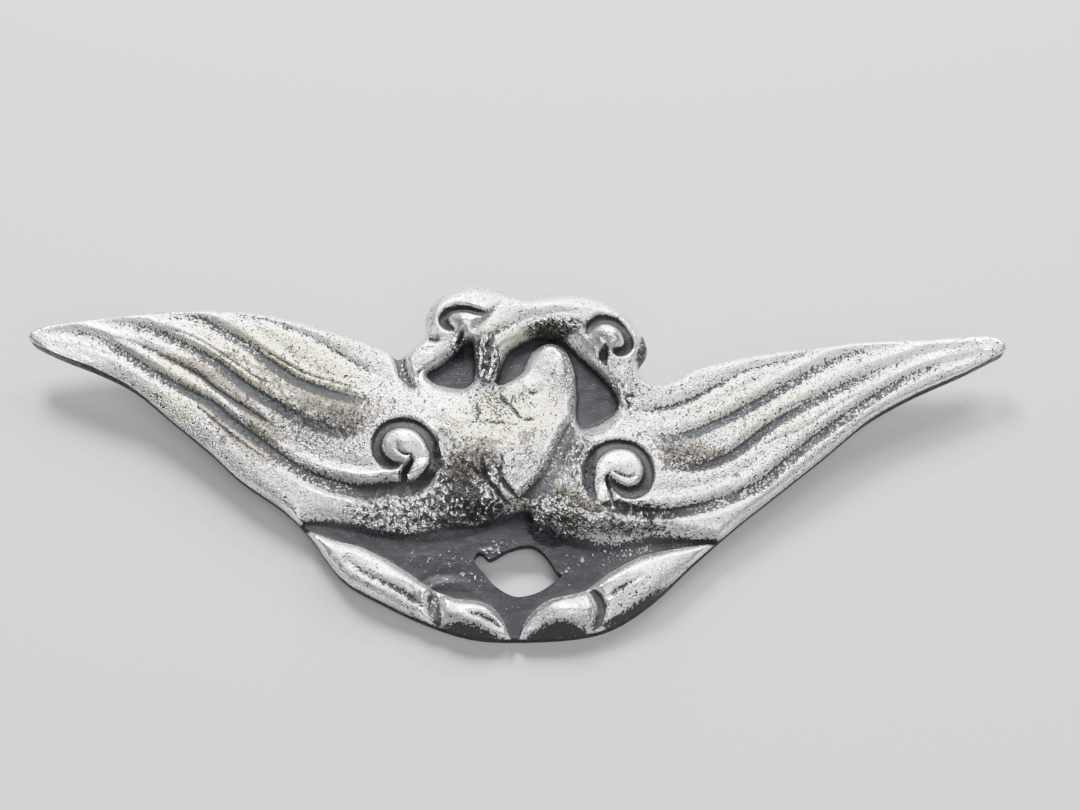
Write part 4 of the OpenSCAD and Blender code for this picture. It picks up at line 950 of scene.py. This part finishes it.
# %% Dirt, patina and painted shade along lines
# Brown films along the feathers. Columns: x, y, spread to both sides, amount
DIRT_LINES = {
    "lowest feather": [
        [-33.5, 9, 0.35, 0.7], [-31.4, 7.2, 0.55, 1.3], [-29.8, 5.5, 0.65, 1.5], [-27.7, 3.6, 0.75, 1.6],
        [-25.6, 1.8, 0.8, 1.6], [-23.5, 0.4, 0.6, 1.1]],
    "middle feather": [
        [-36, 12.2, 0.35, 0.7], [-33.2, 11.4, 0.5, 1], [-30.5, 9.8, 0.65, 1.3], [-28, 7.6, 0.8, 1.5],
        [-26, 5.4, 0.8, 1.4], [-23.8, 3.2, 0.7, 1.1]],
    "right body": [
        [3.6, -2.4, 0.5, 0.8], [5, -2.8, 0.6, 1], [6.3, -3.9, 0.5, 1.1], [8.1, -4.6, 0.5, 1.1]]}
# Patina and painted shade along lines, lighter where the amount is below 0. Columns: x, y, spread to
# both sides, amount
SHADE_LINES = {
    "front of the left inner lobe": [
        [-6.7, -16, 0.4, 1.8], [-4.7, -16.2, 0.6, 2.4], [-2.4, -16.9, 0.5, 2.2], [-1, -17.2, 0.3, 1.8]],
    "front of the right inner lobe": [
        [1.4, -16.9, 0.35, 2], [3.3, -16.4, 0.75, 2.6], [5.2, -16.3, 0.7, 2.4], [6.4, -16.4, 0.4, 1.8]],
    "front of the right outer lobe": [
        [8.8, -15.6, 0.5, 1.8], [10.5, -14.9, 0.6, 2], [12.9, -13.4, 0.6, 2], [15.8, -11.6, 0.5, 1.6]],
    "front of the left outer lobe": [
        [-8.6, -15.3, 0.3, 1.2], [-12.9, -13.6, 0.3, 1], [-15.8, -12, 0.3, 0.8]],
    "lower side of the left body": [
        [-12, -7, 0.5, 0.3], [-9, -6.8, 0.7, 0.6], [-6.6, -5.5, 1.4, 1], [-4.9, -4.6, 1.6, 0.9],
        [-2.5, -4.6, 1, 0.6], [-0.5, -4.9, 0.6, 0.5]],
    "lower side of the right body": [
        [2, -6.4, 0.5, 0.3], [4.5, -7.5, 0.6, 0.5], [7, -6.8, 0.9, 0.6], [9.3, -5.8, 1, 0.5],
        [12, -6.4, 0.8, 0.5], [16, -6.7, 0.5, 0.3]],
    "lower edge of the left wing": [
        [-46, 14, 0.5, -0.5], [-38, 9.3, 0.8, -0.6], [-31, 4.3, 0.9, -0.7], [-25, -0.8, 0.9, -0.6]]}
dirt = zones(grid_x[used], grid_y[used], DIRT)
shade = zones(grid_x[used], grid_y[used], SHADE) - 1.5 * bright * (ground_share < 0.5)
for measured, all_lines in ((dirt, DIRT_LINES), (shade, SHADE_LINES)):
    for line_rows in all_lines.values():
        off, _, (spread, amount), _ = nearest(grid_x[used], grid_y[used], smooth_curve(line_rows, False, 3))
        measured += amount * np.exp(-((off / spread) ** 2))
# Painted shade along the lower edges of the wing tips, which face away from the lights.
wing_tips = eased((np.abs(grid_x[used]) - 22) / 9)
shade = shade + 0.35 * wing_tips * np.exp(-((off_outline / 0.5) ** 2)) * (slope_up[used] > 0)
cream = zones(grid_x[used], grid_y[used], CREAM)
print("dirt up to", round(float(dirt.max()), 2), "cream up to", round(float(cream.max()), 2))

# %% [markdown]
# ## Setting the casting down
# The numbers so far are in the plane of the brooch. In the room that plane leans: the lower border
# touches the surface, and the pin keeps the heads up by 3.2 mm behind the plane. Turning the object
# would be simpler, but a piece of this part stays unturned at the origin, with its place in its mesh.

# %% Lean the plane and make the mesh
border_y = -outline[:, 1].min()
pin_y = 7.4
pin_drop = 3.2
pin_bar_width = 3.2
lean = math.atan(pin_drop / (pin_y - pin_bar_width / 2 + border_y))


def laid(p):
    """Turns the points about the x axis by the lean and lifts the lower border onto the surface:
    y' = y cos - z sin, z' = y sin + z cos + border_y sin."""
    y = p[:, 1] * math.cos(lean) - p[:, 2] * math.sin(lean)
    z = p[:, 1] * math.sin(lean) + p[:, 2] * math.cos(lean)
    return np.column_stack([p[:, 0], y, z + border_y * math.sin(lean)])


in_room = laid(points)[in_faces]
centre = (in_room.min(0) + in_room.max(0)) / 2
centre[2] = 0
in_room = (in_room - centre) * MM


def mesh_piece(name, points, faces):
    """A mesh object from arrays of points and triangles, smooth, riding on the brooch."""
    mesh = bpy.data.meshes.new(name)
    mesh.from_pydata(points.tolist(), [], faces.tolist())
    mesh.polygons.foreach_set("use_smooth", np.ones(len(mesh.polygons), bool))
    mesh.update()
    piece = bpy.data.objects.new(name, mesh)
    bpy.context.collection.objects.link(piece)
    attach(piece, "root")
    return piece


def write_measure(piece, name, values):
    """Keeps one number for each point of the piece, for its finish to read."""
    kept = piece.data.attributes.new(name, "FLOAT", "POINT")
    kept.data.foreach_set("value", np.asarray(values, np.float32))


sharp_edge = math.radians(62)
casting = mesh_piece("cast_swans", in_room, faces)
casting.data.set_sharp_from_angle(angle=sharp_edge)
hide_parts("casting")
print("lean in degrees:", round(math.degrees(lean), 2), "centre:", np.round(centre, 2))

# %% [markdown]
# A finish can only follow the form if the mesh tells it what lies where. So each measure is kept as one
# number at each point. The back and the wall were never rubbed, and get one value each. On the wall the
# high values of the downward slope and of shade also paint shade, as it faces away from the lights.

# %% Give the finish its measures
on_wall = len(points) - 2 * count
# Columns: name, values on the front, value on the back, value on the rim's wall
MEASURES = [
    ("crest", crest[used], 0.0, -0.2), ("rim_wear", rim_wear, 0.0, 0.0), ("hollow", hollow, 0.5, 0.6),
    ("ground", ground, 0.4, 0.6), ("dirt", dirt, 0.1, 0.5), ("cream", cream, 0.0, 0.0),
    ("painted_underside_shade", painted_underside_shade, 0.2, 0.6), ("lit_side", lit_side, 0.0, 0.0), ("rough", rough, 0.3, 1.0),
    ("shade", shade, 0.2, 0.6)]
for name, values, behind, beside in MEASURES:
    values = np.concatenate([values, np.full(count, behind), np.full(on_wall, beside)])
    write_measure(casting, name, values[in_faces])
print("measures:", [name for name, *_ in MEASURES])

# %% Give the finish the way of the feathers
streak_length = 5
feather_way = points[in_faces]
feather_way[:, 1] -= climb(feather_way[:, 0])
feather_way[:, 0] /= streak_length
way = casting.data.attributes.new("feather_way", "FLOAT_VECTOR", "POINT")
way.data.foreach_set("vector", feather_way.astype(np.float32).ravel())
print("a streak is", streak_length, "times longer than wide")

# %% [markdown]
# ## The finish of worn pewter
# A maker blackens the whole casting and rubs it back, and years of wear go on with that. The finish
# has the same layers: dull pewter with a cream tarnish, bright metal where it was rubbed, brown dirt,
# small black pits, and the dark coat that stays in grooves and grounds. The bright metal and the dark
# coat also carry painted light: highlights where a side faces the lights, shade where it faces away.
# Each could be painted as a picture, but a picture has one size and one side. Here the limit of each
# layer is worked out from the measures of the form and made ragged by noises, so it holds close up and
# from behind too.

# %% Small helpers for node trees
def new_finish(name):
    """A material with one Principled shader, and its tree."""
    finish = bpy.data.materials.new(name)
    finish.use_nodes = True
    return finish, finish.node_tree, finish.node_tree.nodes["Principled BSDF"]


def grain(tree, way, size, detail, roughness):
    """A noise whose features are about size wide, in the units of way. Returns its height socket."""
    node = tree.nodes.new("ShaderNodeTexNoise")
    node.inputs["Scale"].default_value = 1 / size
    node.inputs["Detail"].default_value = detail
    node.inputs["Roughness"].default_value = roughness
    tree.links.new(way, node.inputs["Vector"])
    return node.outputs["Fac"]


def measure(tree, name):
    """The measure of that name, kept with the mesh."""
    node = tree.nodes.new("ShaderNodeAttribute")
    node.attribute_name = name
    return node.outputs["Fac"]


def weighed(tree, base, parts):
    """base plus each part's socket times its weight."""
    total = None
    for socket, weight in parts:
        node = tree.nodes.new("ShaderNodeMath")
        node.operation = "MULTIPLY_ADD"
        tree.links.new(socket, node.inputs[0])
        node.inputs[1].default_value = weight
        node.inputs[2].default_value = base
        if total is not None:
            tree.links.new(total, node.inputs[2])
        total = node.outputs[0]
    return total


def stepped(tree, socket, low, high):
    """0 below low, 1 above high, and smooth between."""
    node = tree.nodes.new("ShaderNodeMapRange")
    node.interpolation_type = "SMOOTHSTEP"
    node.inputs["From Min"].default_value = low
    node.inputs["From Max"].default_value = high
    tree.links.new(socket, node.inputs["Value"])
    return node.outputs["Result"]


def mixed(tree, share, first, second):
    """The colour first where share is 0 and second where it is 1. Each is a colour or a socket."""
    node = tree.nodes.new("ShaderNodeMix")
    node.data_type = "RGBA"
    tree.links.new(share, node.inputs["Factor"])
    for place, value in (("A", first), ("B", second)):
        socket = [s for s in node.inputs if s.name == place and s.type == "RGBA"][0]
        if isinstance(value, tuple):
            socket.default_value = (*value, 1)
        else:
            tree.links.new(value, socket)
    return [s for s in node.outputs if s.type == "RGBA"][0]


def multiplied(tree, first, second):
    """The product of two sockets."""
    node = tree.nodes.new("ShaderNodeMath")
    node.operation = "MULTIPLY"
    tree.links.new(first, node.inputs[0])
    tree.links.new(second, node.inputs[1])
    return node.outputs[0]


print("a material can now be put together from grain, measure, weighed, stepped, mixed, multiplied")

# %% Colours of worn pewter
dull = (0.42, 0.428, 0.42)
cream_tone = (0.47, 0.458, 0.335)
brown_dirt = (0.155, 0.138, 0.108)
patina = (0.026, 0.027, 0.029)
sunk_patina = (0.012, 0.013, 0.015)
polish = (0.87, 0.87, 0.855)
cream_polish = (0.56, 0.548, 0.44)
print("polish is", round(polish[1] / dull[1], 1), "times as bright as dull metal")

# %% Measures and noises that the finish reads
pewter, tree, shader = new_finish("worn_pewter")
coordinates = tree.nodes.new("ShaderNodeTexCoord").outputs["Object"]
way_node = tree.nodes.new("ShaderNodeAttribute")
way_node.attribute_name = "feather_way"
along = way_node.outputs["Vector"]
crest, hollow, ground, rough = (measure(tree, n) for n in ("crest", "hollow", "ground", "rough"))
dirt, shade, cream, painted_underside_shade = (measure(tree, n) for n in ("dirt", "shade", "cream", "painted_underside_shade"))
rim_wear = measure(tree, "rim_wear")
lit_side = measure(tree, "lit_side")

stretch = tree.nodes.new("ShaderNodeMapping")
stretch.inputs["Scale"].default_value = (1, 0.55, 1)
tree.links.new(coordinates, stretch.inputs["Vector"])
stretched = stretch.outputs["Vector"]
coarse = grain(tree, stretched, 0.42 * MM, 2, 0.5)
fine = grain(tree, coordinates, 0.20 * MM, 1, 0.5)
flakes = grain(tree, stretched, 0.38 * MM, 3, 0.6)
patches = grain(tree, coordinates, 1.8 * MM, 6, 0.65)
streaks = grain(tree, along, 0.40, 5, 0.6)
print("nodes so far:", len(tree.nodes))

# %% [markdown]
# Each layer is a sum of measures and noises, passed through a step. A weight says how much a cause
# counts, the base says how rare the layer is, and the width of the step says how soft its limit is. On
# rough metal the polish breaks up into flakes, bright beside dark, so there a noise of flakes is added
# to the polish and taken from the patina.

# %% Limits of the layers
creamy = stepped(tree, weighed(tree, -0.75, [(cream, 1.0), (patches, 1.0), (hollow, -0.7)]), 0, 0.5)
rougher = stepped(tree, rough, 0.5, 1.1)
speckles = multiplied(tree, rough, weighed(tree, -1.5, [(coarse, 1.2), (fine, 1.8)]))
torn = multiplied(tree, rougher, weighed(tree, -1.9, [(flakes, 3.8)]))
mottled = weighed(tree, 0.0, [(torn, 1.0), (speckles, 1.0)])
# Besides wear, the worn step adds painted light from lit_side and from shade below 0. Besides patina, the
# dark step adds painted shade from the slope that faces the camera and from part of shade above 0.
worn = stepped(tree, weighed(tree, -2.25, [
    (mottled, 2.0), (crest, 1.6), (rim_wear, 0.5), (lit_side, 0.2), (painted_underside_shade, -0.2), (shade, -0.45),
    (cream, -0.3), (dirt, -0.4), (streaks, 0.8), (coarse, 1.6), (fine, 1.9), (rough, 0.2)]), 0, 0.5)
dirty = stepped(tree, weighed(tree, -3.65, [
    (dirt, 1.0), (coarse, 1.6), (patches, 2.2), (streaks, 1.3), (crest, -1.6), (fine, 1.4)]), 0, 0.25)
pitted = stepped(tree, weighed(tree, -0.765, [
    (fine, 1.0), (coarse, 0.35), (rough, 0.03), (dirt, 0.03), (crest, -0.15)]), 0, 0.05)
dark = stepped(tree, weighed(tree, -3.15, [
    (mottled, -2.3), (hollow, 1.0), (ground, 1.7), (shade, 0.75), (painted_underside_shade, 0.1), (rough, 0.1),
    (coarse, 1.8), (fine, 3.6), (crest, -0.5)]), 0, 0.5)
sooty = stepped(tree, weighed(tree, 1.2, [(ground, 1.0), (patches, -1.2), (fine, -1.2)]), 0.5, 1)
print("nodes so far:", len(tree.nodes))

# %% [markdown]
# The layers lie on each other in the order of their making, so the dark coat comes last and covers the
# rest. Pewter is a metal and shows mostly what it mirrors. Dirt and patina are not, so they take the
# metal away and make the surface rougher.

# %% Colour and gloss
colour = mixed(tree, creamy, dull, cream_tone)
colour = mixed(tree, worn, colour, mixed(tree, creamy, polish, cream_polish))
colour = mixed(tree, dirty, colour, brown_dirt)
colour = mixed(tree, pitted, colour, patina)
colour = mixed(tree, dark, colour, mixed(tree, sooty, patina, sunk_patina))
metallic = weighed(tree, 0.90, [(worn, 0.10), (dark, -0.78), (dirty, -0.35), (pitted, -0.5)])
roughness = weighed(tree, 0.33, [
    (worn, -0.04), (dark, 0.15), (rough, -0.12), (dirty, 0.08), (creamy, 0.12), (crest, -0.05)])
shader.inputs["Specular IOR Level"].default_value = 0.2
tree.links.new(colour, shader.inputs["Base Color"])
tree.links.new(metallic, shader.inputs["Metallic"])
tree.links.new(roughness, shader.inputs["Roughness"])
print("colour, metal and roughness are linked")

# %% [markdown]
# The last thing is the sugary grain of cast metal. It is a bump in millimetres, strong on rough metal
# and almost gone on polish and on the grounds.

# %% Grain of the surface
grain_height = weighed(tree, 0.0, [(coarse, 0.88), (fine, 0.60)])
grain_gain = weighed(tree, 0.045, [
    (rougher, 0.60), (rough, 0.15), (shade, 0.025), (crest, -0.1), (ground, -0.095), (worn, -0.09)])
grain_gain.node.use_clamp = True
height_in_mm = weighed(tree, 0.0, [
    (multiplied(tree, grain_height, grain_gain), 1.0), (streaks, 0.004), (fine, 0.04), (dark, -0.03),
    (pitted, -0.03)])
bump = tree.nodes.new("ShaderNodeBump")
bump.inputs["Strength"].default_value = 1
bump.inputs["Distance"].default_value = MM
tree.links.new(height_in_mm, bump.inputs["Height"])
tree.links.new(bump.outputs["Normal"], shader.inputs["Normal"])
casting.data.materials.append(pewter)
print("nodes in the pewter:", len(tree.nodes))

# %% [markdown]
# ## The pin
# The back is out of sight in the photograph. The pin is drawn steel wire on a stamped bar. Its shape
# is right as it is, so it keeps its own mesh and gets a grey metal with fine marks of drawing along it.

# %% Plain steel for the pin
steel, tree, shader = new_finish("pin_steel")
coordinates = tree.nodes.new("ShaderNodeTexCoord").outputs["Object"]
mapping = tree.nodes.new("ShaderNodeMapping")
mapping.inputs["Scale"].default_value = (0.08, 1, 1)
tree.links.new(coordinates, mapping.inputs["Vector"])
drawn = grain(tree, mapping.outputs["Vector"], 0.12 * MM, 3, 0.6)
worn = grain(tree, coordinates, 1.5 * MM, 4, 0.6)
colour = mixed(tree, stepped(tree, worn, 0.35, 0.7), (0.40, 0.40, 0.39), (0.58, 0.58, 0.57))
tree.links.new(colour, shader.inputs["Base Color"])
shader.inputs["Metallic"].default_value = 1
tree.links.new(weighed(tree, 0.22, [(drawn, 0.25)]), shader.inputs["Roughness"])
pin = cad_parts["brooch_pin"]
pin.data.materials.clear()
pin.data.materials.append(steel)
print("pin triangles:", len(pin.data.polygons))

# %% Print the sizes
visual_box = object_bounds()
boxes = {
    "solids": [list(map(float, corner)) for corner in solid_box],
    "visual": [list(map(float, corner)) for corner in visual_box]}
print("solids", boxes["solids"], "visual", boxes["visual"], "seconds", round(time.time() - started, 1))
